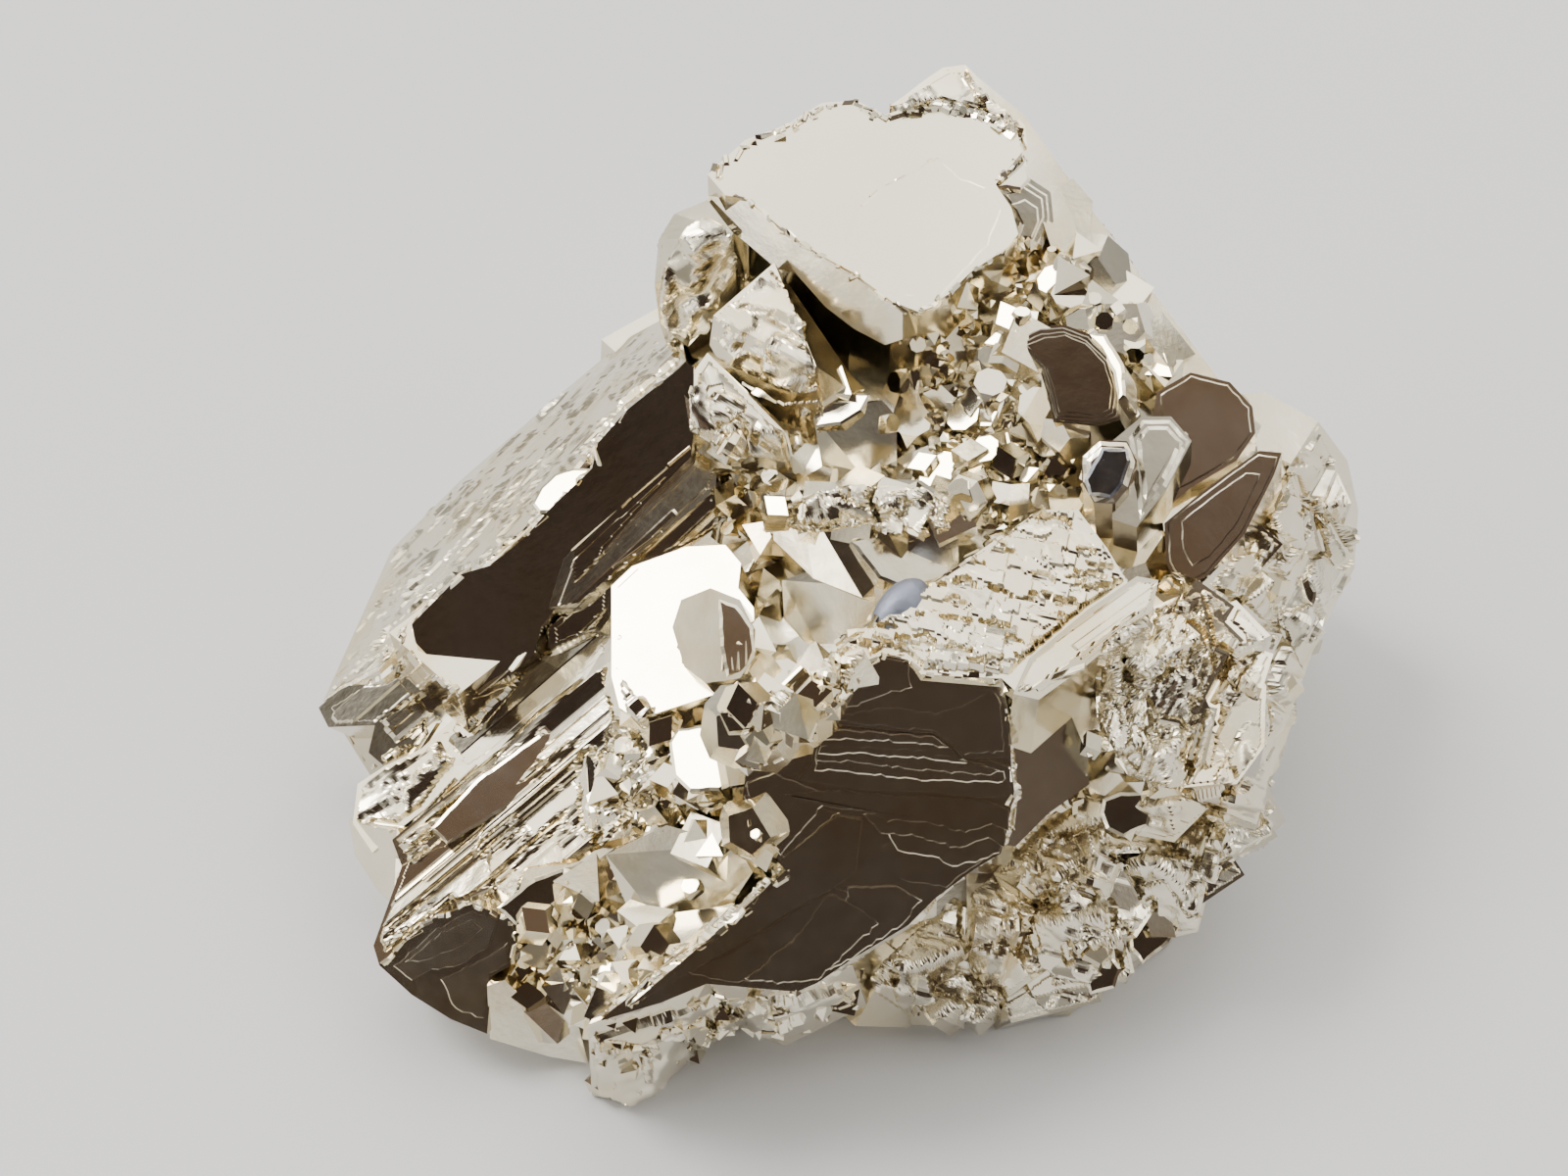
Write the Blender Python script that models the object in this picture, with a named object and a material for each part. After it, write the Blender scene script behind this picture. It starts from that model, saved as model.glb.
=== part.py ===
"""Pyrite cluster: brassy iron-sulphide crystals grown together in one piece, lying on its broken base.

Lengths are millimetres until a mesh is made. A chief crystal is drawn as the picture shows it: the outline of
the face that looks out, in the picture's own 1600 x 1200 frame, is laid on a plane that stands at a real
height, and the crystal grows from that face down into the body. Small crystals then sprout from what is there.
"""
import math
import random

import bmesh
import bpy
from mathutils import Euler, Vector
from mathutils.bvhtree import BVHTree

MM = 0.001

# The eye that the outlines are drawn from
EYE_TILT_DEG = 52.0
EYE_DISTANCE = 215.0
EYE_AIM = Vector((0.0, 0.0, 20.0))
LENS_OVER_SENSOR = 50.0 / 36.0
PICTURE_WIDTH = 1600.0
PICTURE_CENTRE = (800.0, 600.0)

# Heights above the table of the chief crystals
TOP_HEIGHT = 48.0
PEAK_HEIGHT = 49.1
FRONT_HEIGHT = 40.0
LEFT_HEIGHT = 30.0

# A throw of the dice that fixes every small crystal, and the stance of the walls of the top block
SEED = 7
WALL_TURN_DEG = -43.0

# Ways that the chief faces look: up, at the eye, and up with a lean to the left
SKYWARD = (0.02, -0.06, 1.0)
EYEWARD = (0.02, -0.63, 0.776)
LAMPWARD = (-0.29, -0.19, 0.94)


def eye_axes():
    """The eye's right, up and forward directions, and its place."""
    tilt = math.radians(EYE_TILT_DEG)
    forward = Vector((0.0, math.cos(tilt), -math.sin(tilt)))
    up = Vector((0.0, math.sin(tilt), math.cos(tilt)))
    return Vector((1.0, 0.0, 0.0)), up, forward, EYE_AIM - forward * EYE_DISTANCE


def sight_line(u, v):
    """Where the eye is, and the direction in which it sees picture point (u, v)."""
    right, up, forward, eye = eye_axes()
    step = 1.0 / (LENS_OVER_SENSOR * PICTURE_WIDTH)
    across = (u - PICTURE_CENTRE[0]) * step
    rise = (PICTURE_CENTRE[1] - v) * step
    return eye, forward + right * across + up * rise


def at_height(u, v, height):
    """The point seen at (u, v) that is this high above the table."""
    eye, ray = sight_line(u, v)
    return eye + ray * ((height - eye.z) / ray.z)


def laid_on(outline, anchor, normal, lift=0.0):
    """Picture points carried along the line of sight onto the plane through an anchor (u, v, height)."""
    normal = Vector(normal).normalized()
    point = at_height(*anchor) + normal * lift
    laid = []
    for u, v in outline:
        eye, ray = sight_line(u, v)
        laid.append(eye + ray * ((point - eye).dot(normal) / ray.dot(normal)))
    return laid


def crystal(outline, anchor, normal, growth, swell=1.0, lift=0.0):
    """A crystal whose outer face is an outline in the picture, swept along growth, its far end swelled."""
    top = laid_on(outline, anchor, normal, lift)
    middle = sum(top, Vector()) / len(top)
    bm = bmesh.new()
    upper = [bm.verts.new(p) for p in top]
    lower = [bm.verts.new(middle + (p - middle) * swell + Vector(growth)) for p in top]
    bm.faces.new(upper)
    bm.faces.new(lower[::-1])
    for i in range(len(upper)):
        j = (i + 1) % len(upper)
        bm.faces.new((upper[i], lower[i], lower[j], upper[j]))
    return bm


def hull(points):
    """The convex solid round some points."""
    bm = bmesh.new()
    for point in points:
        bm.verts.new(point)
    made = bmesh.ops.convex_hull(bm, input=bm.verts)
    spare = [g for g in made["geom_interior"] if isinstance(g, bmesh.types.BMVert)]
    bmesh.ops.delete(bm, geom=spare, context="VERTS")
    bmesh.ops.dissolve_limit(bm, angle_limit=math.radians(0.5), verts=bm.verts, edges=bm.edges)
    return bm


def knot(corners, growth):
    """A crystal of several outer faces: the hull of its corners (u, v, height) and of these moved by growth."""
    seen = [at_height(*corner) for corner in corners]
    return hull(seen + [p + Vector(growth) for p in seen])


def block(middle, size, turn):
    """A brick-shaped crystal: its middle, its three edge lengths and its turn in degrees."""
    spin = Euler([math.radians(a) for a in turn]).to_matrix()
    half = Vector(size) / 2
    signs = [(i, j, k) for i in (-1, 1) for j in (-1, 1) for k in (-1, 1)]
    return hull([Vector(middle) + spin @ Vector((i * half.x, j * half.y, k * half.z)) for i, j, k in signs])


# The left blades: long striated faces that run down from the top block to the left tip
LEFT_BLADES = [
    dict(outline=[(700, 370), (640, 418), (610, 452), (604, 478), (560, 520), (537, 547), (500, 577),
                  (470, 586), (420, 637), (424, 656), (445, 678), (466, 700), (491, 705), (512, 694),
                  (545, 668), (552, 640), (581, 602), (618, 560), (660, 512), (705, 466), (708, 440),
                  (708, 374)],
         anchor=(580, 560, LEFT_HEIGHT), normal=(-0.1, -0.60, 0.79), growth=(1, 11, -18)),
    dict(outline=[(575, 570), (702, 455), (735, 440), (730, 500), (620, 592), (590, 615), (560, 620)],
         anchor=(650, 540, 30.0), normal=(0.25, -0.58, 0.77), growth=(1, 8, -18)),
    dict(outline=[(600, 610), (620, 590), (735, 490), (745, 530), (715, 548), (665, 575), (640, 600),
                  (610, 640), (560, 660), (560, 640)],
         anchor=(660, 560, 27.5), normal=(0.05, -0.60, 0.79), growth=(1, 6, -18)),
    dict(outline=[(325, 722), (345, 705), (387, 684), (424, 652), (446, 680), (458, 692), (428, 706),
                  (388, 730), (383, 740), (335, 742)],
         anchor=(390, 690, 15.0), normal=(-0.2, -0.5, 0.84), growth=(4, 6, -14)),
    dict(outline=[(383, 738), (388, 728), (458, 690), (494, 706), (480, 716), (430, 764), (392, 782),
                  (376, 768)],
         anchor=(430, 730, 12.0), normal=(0.3, -0.5, 0.81), growth=(4, 6, -11)),
    dict(outline=[(398, 854), (430, 828), (502, 771), (548, 726), (628, 664), (650, 640), (600, 640),
                  (548, 668), (480, 716), (430, 764), (392, 782), (365, 800), (360, 840), (380, 870)],
         anchor=(500, 740, 16.0), normal=(-0.3, -0.3, 0.9), growth=(3, 6, -15)),
    dict(outline=[(400, 857), (430, 832), (502, 775), (548, 730), (628, 668), (650, 700), (600, 738),
                  (540, 783), (480, 832), (440, 868), (410, 884)],
         anchor=(520, 780, 14.5), normal=(0.35, -0.60, 0.72), growth=(3, 6, -13)),
    dict(outline=[(410, 884), (440, 868), (540, 783), (600, 738), (650, 735), (700, 780), (650, 830),
                  (610, 880), (540, 890), (520, 935), (480, 922), (440, 938), (387, 985), (381, 965),
                  (395, 925)],
         anchor=(520, 860, 12.0), normal=(0.05, -0.4, 0.92), growth=(2, 6, -11)),
    dict(outline=[(387, 985), (440, 938), (482, 922), (520, 937), (527, 960), (521, 985), (502, 996),
                  (497, 1055), (460, 1040), (420, 1015)],
         anchor=(450, 980, 9.5), normal=(-0.1, -0.6, 0.78), growth=(4, 10, -8)),
    dict(outline=[(520, 935), (600, 880), (606, 906), (560, 950), (530, 962)],
         anchor=(560, 920, 13.0), normal=(-0.1, -0.6, 0.78), growth=(3, 8, -9)),
    dict(outline=[(497, 1006), (515, 1000), (545, 1030), (590, 1045), (600, 1085), (560, 1078), (500, 1060)],
         anchor=(540, 1050, 4.5), normal=(0.2, -0.8, 0.5), growth=(2, 10, -5)),
]

# The top block and the crystals that stand against it
TOP_CRYSTALS = [
    dict(outline=[(722, 178), (760, 143), (805, 126), (838, 105), (873, 102), (903, 117), (919, 113),
                  (961, 105), (1003, 113), (1037, 132), (1043, 155), (1016, 188), (1032, 212), (1039, 239),
                  (1026, 254), (991, 277), (968, 300), (937, 318), (911, 308), (869, 277), (834, 258),
                  (800, 235), (763, 203), (740, 199)],
         anchor=(860, 210, TOP_HEIGHT), normal=SKYWARD, growth=(0, 0, -44)),
    dict(outline=[(908, 108), (925, 96), (940, 84), (962, 69), (985, 66), (1003, 84), (1046, 128),
                  (1048, 150), (1038, 131), (1003, 108), (961, 99), (925, 106)],
         anchor=(985, 80, PEAK_HEIGHT), normal=(0.1, -0.12, 1.0), growth=(0, 0, -44)),
    dict(outline=[(722, 200), (742, 202), (764, 206), (800, 237), (834, 260), (869, 280), (911, 311),
                  (921, 320), (921, 346), (903, 352), (872, 336), (842, 313), (812, 279), (792, 274),
                  (762, 248), (722, 218)],
         anchor=(834, 258, TOP_HEIGHT - 0.4), normal=(-0.617, -0.670, 0.42), growth=(8, 9, -6)),
    dict(outline=[(985, 68), (1045, 118), (1100, 195), (1160, 275), (1252, 398), (1250, 425), (1200, 425),
                  (1130, 350), (1075, 260), (1043, 160)],
         anchor=(1110, 220, 44.0), normal=(0.35, -0.18, 1.0), growth=(3, 3, -36), swell=1.05),
    dict(outline=[(1015, 190), (1045, 178), (1072, 196), (1075, 225), (1060, 262), (1028, 262), (1036, 232)],
         anchor=(1045, 220, 45.5), normal=(0.1, -0.5, 0.86), growth=(2, 5, -12)),
    dict(outline=[(1072, 196), (1095, 182), (1115, 205), (1112, 240), (1090, 252), (1070, 240)],
         anchor=(1092, 220, 44.5), normal=(-0.1, -0.3, 0.95), growth=(2, 4, -12)),
]

# The front block: its great stepped face, the steps on it, its pitted top and the faces to its right
FRONT_ANCHOR = (900, 680, 38.0)
FRONT_STEP_GROWTH = (0, 3, -4)
FRONT_CRYSTALS = [
    dict(outline=[(761, 788), (775, 770), (805, 760), (832, 752), (836, 733), (850, 728), (872, 702),
                  (880, 680), (900, 668), (926, 673), (940, 688), (985, 690), (1022, 692), (1030, 720),
                  (1032, 783), (1035, 807), (1027, 850), (1021, 871), (994, 887), (954, 917), (927, 944),
                  (869, 979), (834, 1003), (813, 1012), (721, 1004), (675, 1023), (612, 1042), (625, 1030),
                  (740, 944), (802, 888), (780, 861), (756, 829)],
         anchor=FRONT_ANCHOR, normal=EYEWARD, growth=(1, 13, -17), swell=1.04),
    dict(outline=[(834, 737), (850, 728), (872, 702), (880, 680), (900, 668), (926, 673), (940, 688),
                  (985, 690), (1022, 692), (1028, 720), (1030, 772), (984, 774), (973, 763), (952, 748),
                  (927, 747), (874, 741)],
         anchor=FRONT_ANCHOR, normal=EYEWARD, growth=FRONT_STEP_GROWTH, lift=1.3),
    dict(outline=[(815, 795), (828, 778), (834, 742), (874, 743), (927, 749), (952, 750), (973, 765),
                  (984, 776), (1013, 777), (1031, 785), (1031, 812), (1008, 814), (981, 812), (941, 807),
                  (885, 806), (847, 800)],
         anchor=FRONT_ANCHOR, normal=EYEWARD, growth=FRONT_STEP_GROWTH, lift=0.75),
    dict(outline=[(794, 880), (855, 833), (879, 837), (873, 888), (852, 905), (804, 930), (745, 968),
                  (640, 1028), (740, 944), (802, 888)],
         anchor=FRONT_ANCHOR, normal=EYEWARD, growth=FRONT_STEP_GROWTH, lift=0.6),
    dict(outline=[(745, 742), (800, 702), (860, 660), (900, 630), (960, 590), (1010, 555), (1062, 520),
                  (1100, 520), (1130, 560), (1152, 597), (1110, 622), (1050, 672), (1036, 705),
                  (1022, 692), (985, 690), (940, 688), (926, 673), (900, 668), (880, 680), (870, 702),
                  (850, 728), (835, 735), (800, 742)],
         anchor=(1000, 620, FRONT_HEIGHT), normal=(0.0, -0.12, 1.0), growth=(0, 2, -36)),
    dict(outline=[(1034, 708), (1050, 672), (1110, 622), (1160, 588), (1182, 592), (1176, 622),
                  (1110, 678), (1060, 714)],
         anchor=(1110, 645, 40.5), normal=(0.2, -0.3, 0.93), growth=(1, 4, -34)),
    dict(outline=[(1030, 715), (1060, 712), (1108, 678), (1112, 700), (1102, 740), (1106, 780),
                  (1112, 800), (1070, 830), (1036, 864), (1020, 860)],
         anchor=(1060, 760, 30.0), normal=(0.25, -0.68, 0.69), growth=(0, 14, -20)),
    dict(outline=[(1118, 700), (1130, 650), (1180, 618), (1222, 600), (1262, 640), (1292, 700),
                  (1290, 762), (1262, 800), (1190, 808), (1150, 790), (1120, 745)],
         anchor=(1200, 700, 31.0), normal=(0.3, -0.45, 0.85), growth=(2, 6, -26), swell=1.1),
    dict(outline=[(1222, 600), (1262, 560), (1300, 500), (1345, 430), (1375, 470), (1386, 520),
                  (1382, 580), (1345, 650), (1310, 745), (1292, 762), (1270, 700), (1250, 640)],
         anchor=(1300, 600, 27.0), normal=(0.75, -0.35, 0.55), growth=(-8, 8, -22)),
    dict(outline=[(1250, 405), (1290, 400), (1345, 430), (1300, 500), (1262, 560), (1235, 595),
                  (1190, 560), (1180, 480)],
         anchor=(1290, 450, 34.0), normal=(0.25, -0.2, 0.95), growth=(-2, 4, -28)),
]

# Flat tabular crystals that stand like leaves in the right of the hollow, and the bronze shield beside them
LEAVES = [
    dict(outline=[(1188, 534), (1235, 495), (1285, 460), (1308, 462), (1300, 485), (1270, 545),
                  (1232, 588), (1205, 602), (1190, 575)],
         anchor=(1245, 530, 37.0), normal=(-0.15, -0.5, 0.85), growth=(4, 6, -18)),
    dict(outline=[(1180, 400), (1215, 380), (1255, 390), (1278, 415), (1281, 442), (1262, 470),
                  (1215, 498), (1165, 540), (1160, 500), (1175, 440)],
         anchor=(1225, 440, 39.5), normal=(-0.12, -0.5, 0.86), growth=(4, 6, -20)),
    dict(outline=[(1135, 450), (1165, 425), (1195, 425), (1216, 450), (1190, 500), (1160, 538), (1135, 530)],
         anchor=(1170, 480, 41.5), normal=(0.0, -0.4, 0.92), growth=(3, 5, -18)),
    dict(outline=[(1104, 465), (1122, 449), (1150, 450), (1160, 470), (1152, 497), (1138, 514),
                  (1116, 513), (1104, 492)],
         anchor=(1130, 480, 43.0), normal=(-0.05, -0.5, 0.86), growth=(3, 5, -18)),
    dict(outline=[(1034, 345), (1060, 333), (1085, 331), (1112, 341), (1136, 366), (1146, 398),
                  (1143, 428), (1120, 435), (1075, 431), (1068, 400), (1060, 375)],
         anchor=(1090, 390, 45.6), normal=(-0.08, -0.58, 0.81), growth=(7, 5, -18)),
]

# Crystals that stand in the hollow
HOLLOW_CRYSTALS = [
    dict(outline=[(624, 598), (645, 578), (700, 558), (740, 556), (756, 575), (753, 600), (769, 620),
                  (771, 700), (740, 705), (650, 734), (632, 722), (624, 690)],
         anchor=(690, 640, 30.0), normal=LAMPWARD, growth=(3, 2, -14)),
    dict(outline=[(686, 640), (695, 612), (725, 600), (755, 612), (769, 640), (770, 670), (755, 692),
                  (720, 697), (698, 680)],
         anchor=(725, 650, 32.5), normal=(-0.15, -0.3, 0.94), growth=(2, 1, -6)),
    dict(outline=[(686, 758), (700, 743), (735, 742), (750, 757), (753, 790), (740, 806), (708, 809),
                  (689, 799)],
         anchor=(718, 775, 25.5), normal=LAMPWARD, growth=(2, 2, -12)),
]

# The shelf that the small crystals of the right hollow sit on
DRUSE_SHELF = dict(
    outline=[(937, 318), (1030, 255), (1050, 160), (1100, 250), (1200, 380), (1200, 440), (1110, 520),
             (1062, 522), (960, 592), (900, 560), (880, 470), (900, 400)],
    anchor=(1030, 350, 38.0), normal=(-0.05, -0.35, 0.94), growth=(0, 4, -30))

# Crystals of several faces: the long slope behind the left blade, the pitted crystal that leans on the top
# block with its lower lobe, the lump left of it, two blocks in the hollow, the mirror-faced crystal low in it,
# the steep foot under the front face in two parts, and a lump at the left end of the long tread
KNOTS = [
    dict(corners=[(690, 318, 27.0), (640, 345, 25.5), (560, 412, 22.0), (470, 490, 17.0), (400, 560, 14.0),
                  (330, 715, 11.5), (387, 684, 16.5), (420, 640, 21.0), (500, 577, 26.5), (560, 520, 31.0),
                  (640, 418, 34.5), (700, 368, 36.0)], growth=(4, -2, -14)),
    dict(corners=[(790, 268, 45.5), (888, 412, 38.0), (728, 322, 40.5), (724, 352, 37.5), (738, 376, 36.5),
                  (833, 374, 43.5), (845, 438, 36.0), (795, 430, 35.0)], growth=(1, 7, -22)),
    dict(corners=[(697, 394, 40.0), (722, 360, 40.5), (800, 440, 37.5), (806, 470, 34.5), (742, 463, 35.5),
                  (704, 438, 38.0)], growth=(3, 6, -22)),
    dict(corners=[(830, 425, 38.0), (850, 412, 39.0), (900, 408, 40.0), (915, 425, 38.5), (915, 470, 35.5),
                  (880, 485, 34.0), (838, 470, 34.5)], growth=(1, 6, -16)),
    dict(corners=[(688, 218, 45.5), (722, 204, 46.5), (748, 238, 45.5), (672, 245, 44.0), (668, 290, 39.5),
                  (673, 330, 35.0), (702, 354, 32.5), (752, 300, 38.0)], growth=(3, 6, -24)),
    dict(corners=[(778, 540, 33.5), (815, 500, 37.5), (870, 488, 38.5), (940, 490, 39.0), (978, 515, 38.5),
                  (978, 600, 33.0), (952, 640, 30.0), (880, 610, 31.5), (830, 590, 31.5)], growth=(0, 5, -18)),
    dict(corners=[(798, 592, 30.5), (850, 575, 32.5), (902, 600, 32.5), (892, 650, 28.5), (852, 692, 25.0),
                  (828, 665, 26.0), (800, 628, 28.0)], growth=(0, 4, -14)),
    dict(corners=[(618, 872, 19.5), (680, 842, 23.0), (752, 862, 23.0), (768, 890, 21.0), (745, 925, 17.5),
                  (720, 948, 15.0), (690, 962, 13.5), (640, 925, 15.0)], growth=(2, 6, -12)),
    dict(corners=[(600, 1048, 15.0), (625, 1036, 16.0), (721, 1002, 18.5), (738, 1028, 11.0),
                  (740, 1052, 5.0), (700, 1084, 1.0), (650, 1130, -1.0), (604, 1118, 0.0)], growth=(4, 14, -1)),
    dict(corners=[(721, 1002, 18.5), (815, 1010, 17.5), (870, 985, 19.0), (884, 1026, 10.0),
                  (800, 1068, 4.0), (756, 1050, 5.0)], growth=(3, 14, -3)),
    dict(corners=[(356, 835, 9.0), (362, 872, 7.0), (385, 908, 6.0), (402, 925, 6.0), (425, 880, 10.0),
                  (405, 845, 12.0)], growth=(4, 5, -7)),
]

# Big bricks on the sides that the picture doesn't show, in the same stance as the top block
BACK_BLOCKS = [
    dict(middle=(21, 27, 13), size=(20, 18, 32), turn=(0, 0, WALL_TURN_DEG)),
    dict(middle=(37, 14, 9), size=(19, 16, 26), turn=(4, -6, WALL_TURN_DEG + 8)),
    dict(middle=(31, 24, 6), size=(16, 18, 20), turn=(-3, 5, WALL_TURN_DEG - 6)),
    dict(middle=(8, 34, 14), size=(18, 18, 30), turn=(0, 0, WALL_TURN_DEG)),
    dict(middle=(-9, 27, 12), size=(17, 15, 26), turn=(-4, 3, WALL_TURN_DEG - 5)),
    dict(middle=(-23, 13, 6), size=(18, 15, 17), turn=(5, 0, WALL_TURN_DEG + 4)),
    dict(middle=(-33, 2, 3), size=(13, 12, 14), turn=(0, 8, WALL_TURN_DEG + 12)),
    dict(middle=(46, 6, 10), size=(16, 18, 22), turn=(0, 8, WALL_TURN_DEG + 25)),
    dict(middle=(22, 38, 7), size=(18, 10, 16), turn=(3, 3, WALL_TURN_DEG + 6)),
]

# The grown-together body under the crystals, as plan outlines (x, y) at rising heights
BODY_RINGS = [
    (-2.0, [(-34, -10), (-32, -24), (-25, -33), (-14, -40), (0, -36), (14, -35), (27, -36), (38, -28),
            (44, -12), (46, 8), (40, 20), (28, 31), (12, 36), (-4, 32), (-16, 20), (-27, 6)]),
    (5.0, [(-38, -10), (-37, -26), (-27, -36), (-15, -42), (0, -38), (14, -38), (28, -37), (36, -31),
           (48, -13), (50, 10), (43, 22), (30, 33), (13, 39), (-5, 34), (-19, 22), (-31, 7)]),
    (12.0, [(-36, -8), (-32, -22), (-22, -30), (-13, -34), (0, -36), (14, -34), (28, -35), (42, -27),
            (50, -11), (52, 10), (44, 21), (31, 33), (14, 39), (-6, 34), (-20, 22), (-31, 7)]),
    (20.0, [(-26, -3), (-19, -11), (-13, -16), (-6, -22), (3, -29), (14, -27), (27, -27), (40, -19),
            (49, -6), (51, 9), (42, 18), (30, 31), (14, 38), (-6, 33), (-17, 22), (-25, 9)]),
    (28.0, [(-16, 8), (-10, 2), (-3, -3), (4, -10), (10, -16), (16, -19), (27, -19), (37, -14),
            (44, -4), (46, 7), (37, 17), (28, 28), (14, 36), (-4, 31), (-12, 23), (-16, 15)]),
    (34.0, [(-8, 13), (-2, 12), (4, 8), (8, 2), (12, -4), (18, -10), (26, -11), (33, -8),
            (38, 0), (38, 8), (33, 15), (25, 25), (16, 31), (4, 28), (-3, 24), (-8, 18)]),
]

# Where small crystals sprout, as the eye sees it: a patch of the picture, how many, their sizes across,
# how far each is sunk into what it grows from, as a share of its size, and its habits
DRUSE_PATCHES = [
    dict(patch=[(962, 345), (1045, 275), (1100, 262), (1165, 330), (1190, 380), (1150, 345), (1090, 325),
                (1035, 335), (1062, 400), (1070, 440), (1100, 445), (1095, 510), (1030, 525), (975, 500),
                (925, 480), (915, 425)],
         count=58, sizes=(2.8, 5.6), sunk=0.18, habits=("cube", "octahedron", "pyritohedron")),
    dict(patch=[(780, 480), (860, 478), (940, 492), (978, 512), (978, 540), (860, 545), (780, 545)],
         count=16, sizes=(2.4, 4.0), sunk=0.28, habits=("cube", "octahedron")),
    dict(patch=[(640, 748), (690, 735), (740, 722), (745, 745), (790, 750), (755, 800), (775, 860),
                (795, 885), (760, 900), (690, 850), (640, 850), (600, 800)],
         count=26, sizes=(2.6, 4.8), sunk=0.2, habits=("cube", "octahedron", "pyritohedron")),
    dict(patch=[(535, 945), (600, 900), (625, 905), (690, 965), (650, 1005), (610, 1030), (560, 1040),
                (530, 990)],
         count=18, sizes=(2.6, 5.0), sunk=0.2, habits=("cube", "octahedron")),
    dict(patch=[(770, 690), (780, 560), (800, 640), (850, 700), (900, 655), (880, 690), (800, 735)],
         count=10, sizes=(2.4, 4.2), sunk=0.2, habits=("cube", "octahedron")),
    dict(patch=[(735, 385), (745, 470), (790, 480), (780, 545), (745, 545), (735, 440)],
         count=9, sizes=(2.4, 4.2), sunk=0.2, habits=("cube", "octahedron")),
    dict(patch=[(930, 985), (1030, 885), (1110, 815), (1180, 815), (1290, 812), (1285, 880), (1240, 905),
                (1200, 925), (1185, 975), (1130, 1010), (1060, 1035), (990, 1035), (925, 1020), (890, 1000)],
         count=40, sizes=(4.6, 8.6), sunk=0.34, habits=("cube", "brick")),
    dict(patch=[(1120, 690), (1180, 640), (1225, 610), (1270, 650), (1290, 720), (1270, 790), (1190, 800),
                (1150, 790), (1125, 740)],
         count=15, sizes=(4.0, 7.0), sunk=0.36, habits=("cube", "brick")),
    dict(patch=[(1262, 600), (1300, 520), (1335, 450), (1360, 480), (1362, 560), (1325, 650), (1290, 740)],
         count=12, sizes=(4.0, 6.4), sunk=0.38, habits=("cube", "brick")),
    dict(patch=[(625, 1060), (700, 1025), (800, 1022), (870, 1000), (850, 1025), (760, 1045), (650, 1095)],
         count=9, sizes=(3.0, 5.0), sunk=0.4, habits=("brick",)),
]

# Ledges that sprout from the hidden sides: level lines from far out all round, aimed at the middle, find them
LEDGE_THROWS = 90
LEDGE_HEIGHTS = (3.0, 30.0)
LEDGE_SIZES = (6.0, 12.0)
LEDGE_SUNK = 0.38
FAR_OUT = 120.0
BODY_MIDDLE = Vector((5.0, 0.0, 0.0))

# Corners of the crystal habits, for a crystal of half-width 1
EDGE_FOLD = 0.5
HABITS = {
    "cube": [(i, j, k) for i in (-1, 1) for j in (-1, 1) for k in (-1, 1)],
    "brick": [(1.3 * i, 0.9 * j, 0.55 * k) for i in (-1, 1) for j in (-1, 1) for k in (-1, 1)],
    "octahedron": [(1.5, 0, 0), (-1.5, 0, 0), (0, 1.5, 0), (0, -1.5, 0), (0, 0, 1.5), (0, 0, -1.5)],
}
PYRITE_FOLD = [(0, (1 + EDGE_FOLD) * i, (1 - EDGE_FOLD ** 2) * j) for i in (-1, 1) for j in (-1, 1)]
HABITS["pyritohedron"] = HABITS["cube"] + PYRITE_FOLD
HABITS["pyritohedron"] += [(y, z, x) for x, y, z in PYRITE_FOLD] + [(z, x, y) for x, y, z in PYRITE_FOLD]


def body():
    """The body lofted through its rings."""
    bm = bmesh.new()
    rings = [[bm.verts.new((x, y, z)) for x, y in outline] for z, outline in BODY_RINGS]
    for low, high in zip(rings, rings[1:]):
        for i in range(len(low)):
            j = (i + 1) % len(low)
            bm.faces.new((low[i], low[j], high[j], high[i]))
    bm.faces.new(rings[0][::-1])
    bm.faces.new(rings[-1])
    bmesh.ops.triangulate(bm, faces=bm.faces)
    return bm


def mesh_object(name, bm, home):
    """A bmesh in millimetres made into an object in metres, in the collection given."""
    bmesh.ops.recalc_face_normals(bm, faces=bm.faces)
    bmesh.ops.scale(bm, vec=(MM, MM, MM), verts=bm.verts)
    mesh = bpy.data.meshes.new(name)
    bm.to_mesh(mesh)
    bm.free()
    made = bpy.data.objects.new(name, mesh)
    home.objects.link(made)
    return made


def helpers(name, solids):
    """A collection of helper solids, left out of the render, for a Boolean to read."""
    home = bpy.data.collections.new(name)
    bpy.context.scene.collection.children.link(home)
    home.hide_render = True
    for n, bm in enumerate(solids):
        made = mesh_object(f"{name}_{n:03d}", bm, home)
        made.hide_render = True
        made.display_type = "WIRE"
    return home


def fuse(target, home, operation="UNION"):
    """Join the solids of a collection to the target, or cut them from it."""
    joined = target.modifiers.new(home.name, "BOOLEAN")
    joined.operation = operation
    joined.operand_type = "COLLECTION"
    joined.collection = home
    joined.solver = "EXACT"
    joined.use_self = operation == "UNION"


def settled(target):
    """Replace the target's mesh by what its modifiers make of it."""
    shaped = target.evaluated_get(bpy.context.evaluated_depsgraph_get())
    mesh = bpy.data.meshes.new_from_object(shaped)
    target.modifiers.clear()
    target.data = mesh


def keep_outer_skin(target):
    """Drop closed pockets and loose crumbs: only the largest connected skin stays."""
    bm = bmesh.new()
    bm.from_mesh(target.data)
    waiting = set(bm.verts)
    skins = []
    while waiting:
        skin = {waiting.pop()}
        edge = list(skin)
        while edge:
            near = {e.other_vert(v) for v in edge for e in v.link_edges} - skin
            skin |= near
            edge = list(near)
        waiting -= skin
        skins.append(skin)
    skins.sort(key=len)
    for crumb in skins[:-1]:
        bmesh.ops.delete(bm, geom=list(crumb), context="VERTS")
    bm.to_mesh(target.data)
    bm.free()


def inside(point, patch):
    """Whether a picture point lies in a patch."""
    u, v = point
    hit = False
    for (a, b), (c, d) in zip(patch, patch[1:] + patch[:1]):
        if (b > v) != (d > v) and u < (c - a) * (v - b) / (d - b) + a:
            hit = not hit
    return hit


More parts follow.
